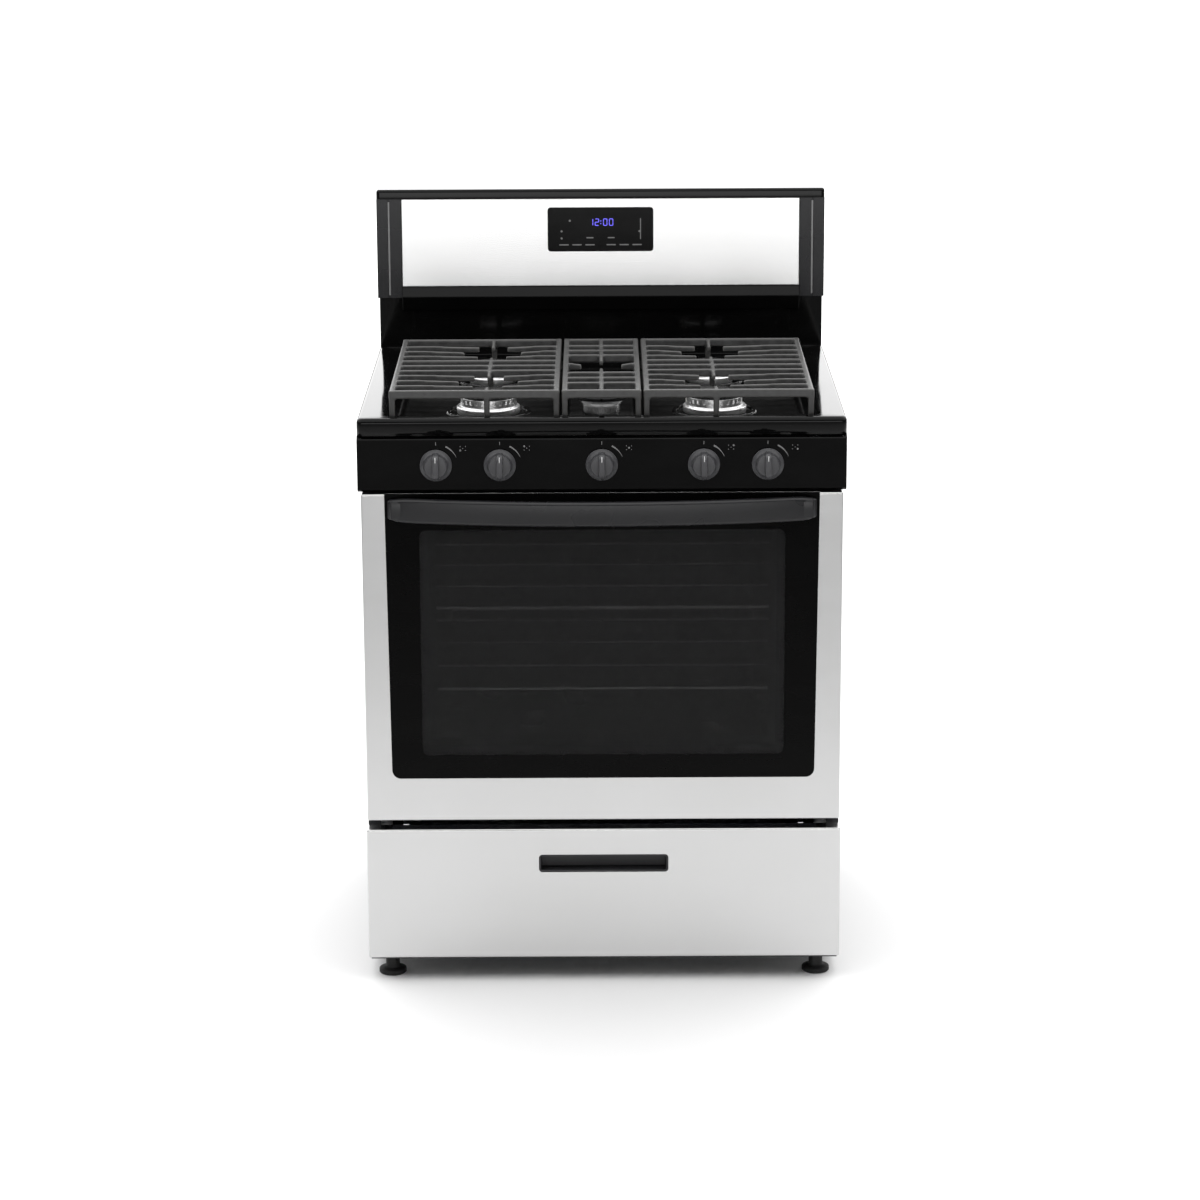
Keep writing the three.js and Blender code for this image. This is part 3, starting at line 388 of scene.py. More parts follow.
def prism_mesh(bm, outline, span, plane="xz"):
    """Adds a prism: an outline in one plane, carried along the third axis."""
    def corner(u, v, w):
        if plane == "xz":
            return (u, w, v)
        if plane == "yz":
            return (w, u, v)
        return (u, v, w)
    near = [bm.verts.new(corner(u, v, span[0])) for u, v in outline]
    far = [bm.verts.new(corner(u, v, span[1])) for u, v in outline]
    bm.faces.new(near)
    bm.faces.new(reversed(far))
    count = len(outline)
    for i in range(count):
        j = (i + 1) % count
        bm.faces.new((near[i], near[j], far[j], far[i]))


def loft_mesh(bm, rings, closed_ends=True):
    """Joins rings of points, each with the same number of points, into one skin."""
    made = [[bm.verts.new(point) for point in ring] for ring in rings]
    count = len(made[0])
    for lower, upper in zip(made, made[1:]):
        for i in range(count):
            j = (i + 1) % count
            bm.faces.new((lower[i], lower[j], upper[j], upper[i]))
    if closed_ends:
        bm.faces.new(reversed(made[0]))
        bm.faces.new(made[-1])


def tube_mesh(bm, path, radius, sides=10):
    """Adds a round wire along a path of points."""
    points = [Vector(p) for p in path]
    rings = []
    side = None
    for i, point in enumerate(points):
        before = points[max(i - 1, 0)]
        after = points[min(i + 1, len(points) - 1)]
        along = (after - before).normalized()
        if side is None:
            side = along.orthogonal().normalized()
        side = (side - along * side.dot(along)).normalized()
        other = along.cross(side)
        rings.append([point + radius * (math.cos(2 * math.pi * k / sides) * side
                                        + math.sin(2 * math.pi * k / sides) * other) for k in range(sides)])
    loft_mesh(bm, rings)


def modified(mesh, *steps):
    """Runs modifiers, each (type, settings), on a mesh and gives back the result."""
    holder = bpy.data.objects.new("holder", mesh)
    bpy.context.scene.collection.objects.link(holder)
    for kind, settings in steps:
        modifier = holder.modifiers.new(kind, kind)
        for key, value in settings.items():
            setattr(modifier, key, value)
    bpy.context.view_layer.update()
    evaluated = holder.evaluated_get(bpy.context.evaluated_depsgraph_get())
    result = bpy.data.meshes.new_from_object(evaluated)
    bpy.data.objects.remove(holder)
    return result


def carved(mesh, cutters, operation="DIFFERENCE"):
    """Cuts meshes out of a mesh."""
    for cutter_mesh in cutters:
        cutter = bpy.data.objects.new("cutter", cutter_mesh)
        bpy.context.scene.collection.objects.link(cutter)
        mesh = modified(mesh, ("BOOLEAN", {"object": cutter, "operation": operation, "solver": "EXACT"}))
        bpy.data.objects.remove(cutter)
    return mesh


def edged(mesh, width, segments=3, angle=30.0, smooth_angle=35.0):
    """Rounds every sharp edge of a mesh."""
    settings = {"width": width, "segments": segments, "limit_method": "ANGLE",
                "angle_limit": math.radians(angle), "harden_normals": False}
    result = modified(mesh, ("BEVEL", settings))
    for polygon in result.polygons:
        polygon.use_smooth = True
    result.set_sharp_from_angle(angle=math.radians(smooth_angle))
    return modified(result, ("WEIGHTED_NORMAL", {"keep_sharp": True, "weight": 90}))


def simple_mesh(build, *args, **kwargs):
    bm = bmesh.new()
    build(bm, *args, **kwargs)
    return finish_mesh(bm, "shape")


def cad_copy(node):
    """The node's own mesh, welded and with its flat faces merged."""
    bm = bmesh.new()
    bm.from_mesh(frame["nodes"][node].data)
    bmesh.ops.remove_doubles(bm, verts=bm.verts, dist=1e-5)
    bmesh.ops.dissolve_limit(bm, angle_limit=math.radians(2), verts=bm.verts, edges=bm.edges)
    mesh = finish_mesh(bm, node)
    mesh.materials.clear()
    return mesh


def edged_node(node, width, segments=2):
    """The node's own shape with its edges rounded."""
    place(f"{node}_shape", edged(cad_copy(node), width, segments), node, NODE_LOOK.get(node), (node,))


def centre_of(node):
    low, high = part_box(node)
    return (low + high) / 2


# ---- camera, light and floor --------------------------------------------------------------------
CAMERA_PLACE = (-0.0039, -5.7389, 2.0366)
CAMERA_LENS = 107.5
CAMERA_DIP = 14.52
CAMERA_ROLL = -0.276


def add_camera():
    data = bpy.data.cameras.new("camera")
    data.sensor_width = 36.0
    data.lens = CAMERA_LENS
    camera = bpy.data.objects.new("camera", data)
    bpy.context.scene.collection.objects.link(camera)
    tilt = math.radians(90 - CAMERA_DIP)
    roll = math.radians(CAMERA_ROLL)
    turn = Matrix.Rotation(tilt, 4, "X") @ Matrix.Rotation(roll, 4, "Z")
    camera.matrix_world = Matrix.Translation(CAMERA_PLACE) @ turn
    bpy.context.scene.camera = camera


def add_area(name, location, target, size, power):
    data = bpy.data.lights.new(name, "AREA")
    data.shape = "RECTANGLE"
    data.size, data.size_y = size
    data.energy = power
    lamp = bpy.data.objects.new(name, data)
    bpy.context.scene.collection.objects.link(lamp)
    lamp.location = location
    lamp.rotation_euler = (Vector(target) - Vector(location)).to_track_quat("-Z", "Y").to_euler()


def add_sky():
    """A soft sky: dim in front of the range, paler behind it, brightest low down at the back."""
    world = bpy.data.worlds.new("studio")
    bpy.context.scene.world = world
    world.use_nodes = True
    tree = world.node_tree

    def added(kind, **values):
        node = tree.nodes.new(kind)
        for key, value in values.items():
            node.inputs[key].default_value = value
        return node

    coords = added("ShaderNodeTexCoord")
    split = added("ShaderNodeSeparateXYZ")
    tree.links.new(coords.outputs["Generated"], split.inputs["Vector"])

    def ramp(axis, low, high, first, last):
        values = {"From Min": low, "From Max": high, "To Min": first, "To Max": last}
        node = added("ShaderNodeMapRange", **values)
        tree.links.new(split.outputs[axis], node.inputs["Value"])
        return node.outputs["Result"]

    def combined(operation, first, second):
        node = tree.nodes.new("ShaderNodeMath")
        node.operation = operation
        tree.links.new(first, node.inputs[0])
        tree.links.new(second, node.inputs[1])
        return node.outputs["Value"]

    dome = ramp("Y", -0.6, 0.2, 0.06, 0.24)
    band = combined("MULTIPLY", ramp("Y", 0.4, 0.8, 0.0, 0.6), ramp("Z", 0.32, 0.45, 1.0, 0.0))
    background = tree.nodes["Background"]
    background.inputs["Color"].default_value = (1.0, 1.0, 1.0, 1.0)
    tree.links.new(combined("ADD", dome, band), background.inputs["Strength"])


def add_studio():
    add_sky()
    add_area("top_light", (0.0, 0.25, 1.95), (0.0, 0.25, 0.0), (6.0, 4.4), 160.0)
    add_area("rear_light", (0.0, 12.0, 2.3), (0.0, 12.0, 0.0), (30.0, 19.0), 4000.0)
    add_area("front_light", (0.0, -8.0, 0.75), (0.0, 0.0, 0.75), (7.0, 1.4), 120.0)
    bpy.context.scene.view_settings.view_transform = "Standard"
    half = 30.0
    mesh = simple_mesh(block_mesh, (-half, -half, -0.05), (half, half, 0.0))
    floor = bpy.data.objects.new("floor", mesh)
    bpy.context.scene.collection.objects.link(floor)
    n = Nodes("floor_look")
    cloud = n.noise((1, 1, 1), 0.8, 2.0)
    n.colour(n.mix_colour(cloud, grey(0.88), grey(0.92)))
    n.set(Roughness=0.85, Specular_IOR_Level=0.1)
    mesh.materials.append(n.material)


# ---- cooktop ------------------------------------------------------------------------------------
HEAD_TALL = 26 * MM


def cooktop_pan():
    """Pressed pan: rolled outer edge, flat rim, sunken well with a soft slope and round corners."""
    low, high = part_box("cooktop_pan")
    grates = [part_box("grate_left"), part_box("grate_right")]
    roll = 7 * MM
    well_low = (grates[0][0].x - 6 * MM, grates[0][0].y - 5 * MM)
    well_high = (grates[1][1].x + 6 * MM, high.y - 81 * MM)
    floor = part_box("burner_head_front_left")[1].z - HEAD_TALL

    def ring(inset, height, corner):
        outline = rounded_outline((low.x + inset, low.y + inset), (high.x - inset, high.y - inset), corner)
        return [(x, y, height) for x, y in outline]

    def well_ring(inset, height, corner):
        outline = rounded_outline((well_low[0] + inset, well_low[1] + inset),
                                  (well_high[0] - inset, well_high[1] - inset), corner)
        return [(x, y, height) for x, y in outline]

    rings = [ring(0.0, low.z, 9 * MM)]
    for turn in range(0, 91, 15):
        a = math.radians(turn)
        rings.append(ring(roll * (1 - math.cos(a)), high.z - roll + roll * math.sin(a), 9 * MM))
    drop = high.z - floor
    slope = 3 * MM
    for step in range(0, 11):
        share = step / 10
        ease = share * share * (3 - 2 * share)
        rings.append(well_ring(slope * (share - 1), high.z - drop * ease, 14 * MM - slope * share))
    bm = bmesh.new()
    made = [[bm.verts.new(p) for p in r] for r in rings]
    count = len(made[0])
    for outer, inner in zip(made, made[1:]):
        for i in range(count):
            j = (i + 1) % count
            bm.faces.new((outer[i], outer[j], inner[j], inner[i]))
    bm.faces.new(made[-1])
    mesh = finish_mesh(bm, "cooktop_pan", 50.0)
    mesh = modified(mesh, ("SOLIDIFY", {"thickness": 1.2 * MM, "offset": -1.0}))
    place("cooktop_pan_shape", mesh, "cooktop_pan", replaced=("cooktop_pan",))
    for name in BURNERS:
        head_low, head_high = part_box(f"burner_head_{name}")
        radius = (head_high.x - head_low.x) / 2
        inner = radius + 9 * MM
        bm = bmesh.new()
        profile = [(inner, floor - 0.6 * MM)]
        profile += [(r, floor + h) for r, h in arc((inner + 4 * MM, -0.4 * MM), 4 * MM, 170, 10, 10)]
        profile += [(inner + 8 * MM, floor - 0.6 * MM)]
        lathe_mesh(bm, profile, 72)
        for face in [f for f in bm.faces if len(f.verts) > 4]:
            bm.faces.remove(face)
        rim_low = [e for e in bm.edges if e.is_boundary]
        bmesh.ops.bridge_loops(bm, edges=rim_low)
        bead = finish_mesh(bm, "bead", 60.0)
        middle = centre_of(f"burner_head_{name}")
        place(f"pan_bead_{name}", bead, "cooktop_pan", matrix=Matrix.Translation((middle.x, middle.y, 0)))


def burner(name):
    """Aluminium head with a ring of flame ports, its enamelled cap, and the spark electrode beside it."""
    head, cap = f"burner_head_{name}", f"burner_cap_{name}"
    low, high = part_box(head)
    middle = centre_of(head)
    size = (high.y - low.y) / 2
    seat = high.z - HEAD_TALL
    ring = size * 0.88
    ports = 28
    sides = ports * 6

    def notch(radius, height, index):
        in_port = index % 6 in (0, 1)
        at_ports = seat + 18.0 * MM < height < seat + 23.5 * MM
        return radius - 1.6 * MM if in_port and at_ports and radius > ring - 0.4 * MM else radius

    profile = [(15 * MM, low.z), (15 * MM, seat), (size - 1.5 * MM, seat), (size, seat + 1.5 * MM)]
    profile += arc((size - 2.5 * MM, seat + 9.0 * MM), 2.5 * MM, 0, 90, 5)
    profile += [(ring + 2 * MM, seat + 11.9 * MM)]
    profile += arc((ring + 2 * MM, seat + 13.9 * MM), 2 * MM, 270, 180, 4)
    profile += [(ring, seat + h * MM) for h in (17.9, 18.1, 23.4, 23.6, 25.5)]
    profile += [(ring - 0.5 * MM, seat + HEAD_TALL), (ring - 6 * MM, seat + HEAD_TALL)]
    bm = bmesh.new()
    lathe_mesh(bm, profile, sides, notch)
    turn = Matrix.Translation((middle.x, middle.y, 0))
    place(f"{head}_shape", finish_mesh(bm, head, 40.0), head, replaced=(head,), matrix=turn)

    cap_low, cap_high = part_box(cap)
    radius = (cap_high.y - cap_low.y) / 2
    base, top = cap_low.z, cap_high.z
    edge = 3.2 * MM
    profile = [(radius - 6 * MM, base), (radius - 1.5 * MM, base)]
    profile += arc((radius - edge, base + edge), edge, -60, 70, 8)
    crown = radius - edge * 0.7
    shoulder = profile[-1][1]
    for i in range(1, 11):
        share = i / 10
        rise = math.sin(share * math.pi / 2) ** 0.8
        profile.append((crown * (1 - share) + 0.4 * MM, shoulder + (top - shoulder) * rise))
    bm = bmesh.new()
    lathe_mesh(bm, profile, 96)
    place(f"{cap}_shape", finish_mesh(bm, cap, 50.0), cap, replaced=(cap,), matrix=turn)

    bm = bmesh.new()
    reach = size + 4.5 * MM
    spot = Vector((middle.x - reach * math.cos(0.7), middle.y + reach * math.sin(0.7), 0))
    lathe_mesh(bm, [(3.1 * MM, seat), (3.1 * MM, seat + 9 * MM), (2.6 * MM, seat + 10 * MM),
                    (2.6 * MM, seat + 17 * MM), (2.0 * MM, seat + 18 * MM)], 24)
    beside = Matrix.Translation(spot)
    place(f"electrode_{name}", finish_mesh(bm, "electrode"), "cooktop_pan", CERAMIC, matrix=beside)
    bm = bmesh.new()
    inward = (Vector((middle.x, middle.y, 0)) - spot).normalized() * 4 * MM
    tip = [(0, 0, seat + 17 * MM), (0, 0, seat + 20 * MM), (inward.x * 0.4, inward.y * 0.4, seat + 21.5 * MM),
           (inward.x, inward.y, seat + 22 * MM)]
    tube_mesh(bm, tip, 0.8 * MM, 8)
    place(f"electrode_tip_{name}", finish_mesh(bm, "tip"), "cooktop_pan", SCREW_STEEL, matrix=beside)


GRATE_BAR = 10 * MM
GRATE_TALL = 13 * MM
FINGER_BAR = 8 * MM
FINGER_PITCH = 42 * MM


def cast_bar(bm, start, end, top, width=GRATE_BAR, tall=GRATE_TALL, droop=0.0):
    """A bar with a slightly narrower crown. Its end can droop and thin out towards a finger's tip."""
    start, end = Vector((*start, 0)), Vector((*end, 0))
    along = (end - start).normalized()
    across = Vector((-along.y, along.x, 0))
    rings = []
    for share in (0.0, 0.35, 0.7, 0.9, 1.0):
        point = start.lerp(end, share)
        sink = droop * max(0.0, share - 0.35) / 0.65
        thin = 1.0 - (0.25 * share if droop else 0.0)
        deep = tall * (1.0 - (0.35 * share if droop else 0.0))
        crown, foot = width * 0.40 * thin, width * 0.52 * thin
        upper = Vector((0, 0, top - sink))
        lower = Vector((0, 0, top - sink - deep))
        rings.append([point - across * foot + lower, point + across * foot + lower,
                      point + across * crown + upper, point - across * crown + upper])
    loft_mesh(bm, rings)


def cast_leg(bm, x, y, foot, top):
    levels = ((foot, 5.2 * MM), (foot + 6 * MM, 4.2 * MM), (top - 14 * MM, 4.6 * MM), (top - 2 * MM, 5 * MM))
    corners = ((-1, -1), (1, -1), (1, 1), (-1, 1))
    loft_mesh(bm, [[(x + half * u, y + half * v, height) for u, v in corners] for height, half in levels])


def cast(bm, name):
    """Melts overlapping bars into one casting with soft edges and fillets."""
    mesh = finish_mesh(bm, name)
    mesh = modified(mesh, ("REMESH", {"mode": "VOXEL", "voxel_size": 1.9 * MM, "use_smooth_shade": True}),
                    ("SMOOTH", {"factor": 0.5, "iterations": 4}))
    for polygon in mesh.polygons:
        polygon.use_smooth = True
    return mesh


def frame_bars(bm, low, high, top):
    half = GRATE_BAR / 2
    x0, x1, y0, y1 = low.x + half, high.x - half, low.y + half, high.y - half
    cast_bar(bm, (x0 - half, y0), (x1 + half, y0), top)
    cast_bar(bm, (x0 - half, y1), (x1 + half, y1), top)
    cast_bar(bm, (x0, y0 - half), (x0, y1 + half), top)
    cast_bar(bm, (x1, y0 - half), (x1, y1 + half), top)
    return x0, x1, y0, y1


def fingers(bm, x_span, y_span, centre, reach, top, width=FINGER_BAR):
    """Four fingers that end around a burner's centre and droop slightly at their tips."""
    x, y = centre
    drop = 2.5 * MM
    cast_bar(bm, (x, y_span[0]), (x, y - reach), top, width, droop=drop)
    cast_bar(bm, (x, y_span[1]), (x, y + reach), top, width, droop=drop)
    cast_bar(bm, (x_span[0], y), (x - reach, y), top, width, droop=drop)
    cast_bar(bm, (x_span[1], y), (x + reach, y), top, width, droop=drop)


def cross_bars(bm, x_span, rows, top):
    for y in rows:
        cast_bar(bm, (x_span[0], y), (x_span[1], y), top, FINGER_BAR)


def side_fingers(bm, x_span, centre, reach, top):
    """The shorter fingers beside the middle ones, cut back to the same open circle."""
    x, y = centre
    start = math.sqrt(reach ** 2 - FINGER_PITCH ** 2) + FINGER_BAR / 2
    for row in (y - FINGER_PITCH, y + FINGER_PITCH):
        cast_bar(bm, (x_span[0], row), (x - start, row), top, FINGER_BAR, droop=2 * MM)
        cast_bar(bm, (x_span[1], row), (x + start, row), top, FINGER_BAR, droop=2 * MM)


def side_grate(name):
    node = f"grate_{name}"
    low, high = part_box(node)
    front = centre_of(f"burner_head_front_{name}")
    rear = centre_of(f"burner_head_rear_{name}")
    bm = bmesh.new()
    x0, x1, y0, y1 = frame_bars(bm, low, high, high.z)
    middle = (front.y + rear.y) / 2
    cast_bar(bm, (x0, middle), (x1, middle), high.z)
    cross_bars(bm, (x0, x1), (middle - FINGER_PITCH, middle + FINGER_PITCH), high.z)
    reach = 46 * MM
    for burner_at, span in ((front, (y0, middle)), (rear, (middle, y1))):
        fingers(bm, (x0, x1), span, (burner_at.x, burner_at.y), reach, high.z)
        side_fingers(bm, (x0, x1), (burner_at.x, burner_at.y), reach, high.z)
    for x in (x0, front.x, x1):
        for y in (y0, y1):
            cast_leg(bm, x, y, low.z, high.z)
    cast_leg(bm, front.x, middle, low.z, high.z)
    place(f"{node}_casting", cast(bm, node), node, replaced=(node,))


def centre_grate():
    low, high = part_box("grate_centre")
    burner_at = centre_of("burner_head_centre")
    bm = bmesh.new()
    x0, x1, y0, y1 = frame_bars(bm, low, high, high.z)
    near, far = burner_at.y - 75 * MM, burner_at.y + 75 * MM
    for y in (near, far):
        cast_bar(bm, (x0, y), (x1, y), high.z)
    for step in (FINGER_PITCH, 2 * FINGER_PITCH):
        cross_bars(bm, (x0, x1), (near - step, far + step), high.z)
    fingers(bm, (x0, x1), (near, far), (0.0, burner_at.y), 32 * MM, high.z)
    cast_bar(bm, (0, y0), (0, near), high.z, FINGER_BAR)
    cast_bar(bm, (0, far), (0, y1), high.z, FINGER_BAR)
    for x in (x0, x1):
        for y in (y0, y1):
            cast_leg(bm, x, y, low.z, high.z)
    place("grate_centre_casting", cast(bm, "grate_centre"), "grate_centre", replaced=("grate_centre",))


# ---- control panel and knobs --------------------------------------------------------------------
def knob(index):
    node = f"knob_{index}"
    low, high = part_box(node)
    middle = centre_of(node)
    turn = Matrix.Translation((middle.x, high.y, middle.z)) @ Matrix.Rotation(math.pi / 2, 4, "X")
    tall = high.y - low.y
    radius = (high.x - low.x) / 2
    bm = bmesh.new()
    skirt = 6.5 * MM
    profile = [(radius - 2 * MM, 0.0), (radius - 0.6 * MM, 0.6 * MM)]
    profile += arc((radius - 1.6 * MM, skirt - 3.2 * MM), 1.6 * MM, 0, 80, 5)
    profile += [(radius - 5.0 * MM, skirt + 0.4 * MM), (radius - 6.2 * MM, skirt + 2 * MM)]
    profile += [(radius - 7.2 * MM, skirt + 9 * MM)]
    profile += arc((radius - 9.4 * MM, skirt + 10.5 * MM), 2.2 * MM, 5, 88, 5)
    profile += [(radius - 16 * MM, skirt + 13.2 * MM), (2 * MM, skirt + 13.4 * MM)]
    lathe_mesh(bm, profile, 96)
    place(f"{node}_dial", finish_mesh(bm, node, 40.0), node, replaced=(node,), matrix=turn)
    bm = bmesh.new()
    rings = []
    reach = radius - 4.5 * MM
    for step in range(0, 25):
        y = -reach + 2 * reach * step / 24
        bulge = math.sqrt(max(0.0, 1 - (abs(y) / (reach + 0.2 * MM)) ** 4))
        top = 15 * MM + (tall - 15 * MM) * bulge
        half = 3.4 * MM + 1.7 * MM * bulge
        crown = 2.0 * MM
        section = [(-half - 1.2 * MM, y, 5 * MM), (-half, y, top - crown - 2 * MM)]
        section += [(x, y, z) for x, z in arc((-half + crown, top - crown), crown, 180, 90, 4)]
        section += [(x, y, z) for x, z in arc((half - crown, top - crown), crown, 90, 0, 4)]
        section += [(half, y, top - crown - 2 * MM), (half + 1.2 * MM, y, 5 * MM)]
        rings.append(section)
    loft_mesh(bm, rings)
    place(f"{node}_grip", finish_mesh(bm, node, 45.0), node, matrix=turn)
    mark_low, mark_high = (-0.7 * MM, 9 * MM, tall - 1.4 * MM), (0.7 * MM, 17.5 * MM, tall - 0.1 * MM)
    mark = simple_mesh(block_mesh, mark_low, mark_high, 0.25 * MM, 2)
    place(f"{node}_pointer", mark, node, MARK_WHITE, matrix=turn)


def control_panel():
    edged_node("control_panel", 1.0 * MM, 3)
    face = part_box("control_panel")[0].y
    for index in range(1, 6):
        middle = centre_of(f"knob_{index}")
        radius = 31 * MM
        bm = bmesh.new()
        block_mesh(bm, (-0.5 * MM, face - 0.12 * MM, radius), (0.5 * MM, face + 0.2 * MM, radius + 5 * MM))
        mesh = finish_mesh(bm, "tick")
        around = Matrix.Translation((middle.x, 0, middle.z))
        place(f"panel_tick_{index}", mesh, "control_panel", MARK_GREY, matrix=around)
        bm = bmesh.new()
        start, end, steps = 20, 62, 14
        outer = arc((0, 0), radius + 3 * MM, start, end, steps)
        inner = []
        for i in range(steps + 1):
            share = i / steps
            width = (0.4 + 2.2 * share) * MM
            turn = math.radians(start + (end - start) * share)
            inside = radius + 3 * MM - width
            inner.append((inside * math.cos(turn), inside * math.sin(turn)))
        prism_mesh(bm, outer + inner[::-1], (face - 0.12 * MM, face + 0.2 * MM))
        place(f"panel_flame_arc_{index}", finish_mesh(bm, "arc"), "control_panel", MARK_GREY, matrix=around)
        icon(index, middle.x + 42 * MM, middle.z + 26 * MM, face)


def icon(index, x, z, face):
    """A generic map of five burner positions, the one that this knob feeds drawn larger."""
    spots = ((-4, -3), (-4, 3), (0, 0), (4, 3), (4, -3))
    bm = bmesh.new()
    for number, (dx, dz) in enumerate(spots, 1):
        size = (1.5 if number == index else 0.7) * MM
        outline = arc((x + dx * MM, z + dz * MM), size, 0, 330, 11)
        prism_mesh(bm, outline, (face - 0.12 * MM, face + 0.2 * MM))
    place(f"panel_icon_{index}", finish_mesh(bm, "icon"), "control_panel", MARK_GREY)


# ---- backguard ----------------------------------------------------------------------------------
def backguard():
    edged_node("backguard_housing", 0.6 * MM)
    edged_node("top_trim", 0.5 * MM)
    edged_node("vent_trim", 0.8 * MM)
    for name, _ in SIDES:
        edged_node(f"end_cap_{name}", 0.6 * MM)
        low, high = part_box(f"end_cap_{name}")
        middle = (low.x + high.x) / 2
        strip = simple_mesh(block_mesh, (middle - 1.4 * MM, low.y - 0.5 * MM, low.z + 5 * MM),
                            (middle + 1.4 * MM, low.y + 0.5 * MM, high.z - 5 * MM), 0.4 * MM, 2)
        place(f"end_cap_line_{name}", strip, f"end_cap_{name}", MARK_GREY)
    fascia()
    display()


def fascia():
    low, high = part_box("fascia")
    glass_low, glass_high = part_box("display_glass")
    body = simple_mesh(block_mesh, low, high, 1.6 * MM, 4)
    outline = rounded_outline((glass_low.x - 0.4 * MM, glass_low.z - 0.4 * MM),
                              (glass_high.x + 0.4 * MM, glass_high.z + 0.4 * MM), 5.4 * MM, 8)
    hole = simple_mesh(prism_mesh, outline, (low.y - 0.01, high.y + 0.01))
    mesh = edged(carved(body, [hole]), 0.4 * MM, 2)
    place("fascia_plate", mesh, "fascia", replaced=("fascia",))


SEGMENTS = {"0": "abcdef", "1": "bc", "2": "abged", "3": "abgcd", "4": "fgbc", "5": "afgcd",
            "6": "afgedc", "7": "abc", "8": "abcdefg", "9": "abcdfg"}


def digit_mesh(bm, character, x, z, wide, tall, face):
    """One seven-segment digit with its lower left corner at x, z."""
    thick = wide * 0.2
    half = tall / 2
    bars = {"a": (0, tall, True), "g": (0, half, True), "d": (0, 0, True), "f": (0, half, False),
            "b": (wide, half, False), "e": (0, 0, False), "c": (wide, 0, False)}
    for segment in SEGMENTS[character]:
        u, v, flat = bars[segment]
        gap = thick * 0.25
        if flat:
            box = ((x + u + gap, z + v - thick / 2), (x + u + wide - gap, z + v + thick / 2))
        else:
            box = ((x + u - thick / 2, z + v + gap), (x + u + thick / 2, z + v + half - gap))
        outline = rounded_outline(box[0], box[1], thick * 0.35, 3)
        prism_mesh(bm, outline, (face - 0.15 * MM, face + 0.1 * MM))


def display():
    window = edged(cad_copy("display_glass"), 0.5 * MM, 2)
    place("display_window", window, "display_glass", replaced=("display_glass",))
    low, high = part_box("display_glass")
    face = low.y
    middle = (low.x + high.x) / 2
    top = high.z - 30 * MM
    bm = bmesh.new()
    wide, tall, pitch = 6 * MM, 11 * MM, 10 * MM
    for number, character in enumerate("1200"):
        x = middle - 19 * MM + pitch * number + (4 * MM if number > 1 else 0)
        digit_mesh(bm, character, x, top, wide, tall, face)
    for height in (3.2 * MM, 7.6 * MM):
        spot = (middle + 0.5 * MM, top + height)
        prism_mesh(bm, arc(spot, 0.9 * MM, 0, 330, 11), (face - 0.15 * MM, face + 0.1 * MM))
    place("clock_digits", finish_mesh(bm, "clock"), "display_glass", CLOCK_BLUE)
    bm = bmesh.new()
    span = (face - 0.12 * MM, face + 0.1 * MM)

    def dash(x, half, rise):
        start = (middle + (x - half) * MM, low.z + rise * MM)
        end = (middle + (x + half) * MM, low.z + (rise + 2) * MM)
        prism_mesh(bm, rounded_outline(start, end, 0.9 * MM, 3), span)

    for x in (-62, -40, -18, 18, 40, 62):
        dash(x, 8, 10)
    for x in (-18, 18):
        dash(x, 6, 22)
    for x, z in ((-66, 22), (-66, 34), (-52, 52), (66, 34)):
        prism_mesh(bm, arc((middle + x * MM, low.z + z * MM), 1.8 * MM, 0, 345, 23), span)
    upright = ((middle + 67 * MM, low.z + 20 * MM), (middle + 68.5 * MM, low.z + 56 * MM))
    outline = rounded_outline(*upright, 0.7 * MM, 3)
    prism_mesh(bm, outline, span)
    place("display_key_marks", finish_mesh(bm, "marks"), "display_glass", MARK_GREY)


# ---- door ---------------------------------------------------------------------------------------
def door_outline(grow, top):
    """The window's outline in the frame: a tapered U with round lower corners, from the glass node's box."""
    low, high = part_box("door_glass_outer")
    taper = 4.5 * MM
    corner = 14 * MM
    x = high.x + grow
    bottom = low.z - grow
    points = [(x, top)]
    points += arc((x - taper - corner, bottom + corner), corner, 0, -90, 8)
    points += arc((-x + taper + corner, bottom + corner), corner, -90, -180, 8)
    points += [(-x, top)]
    return points


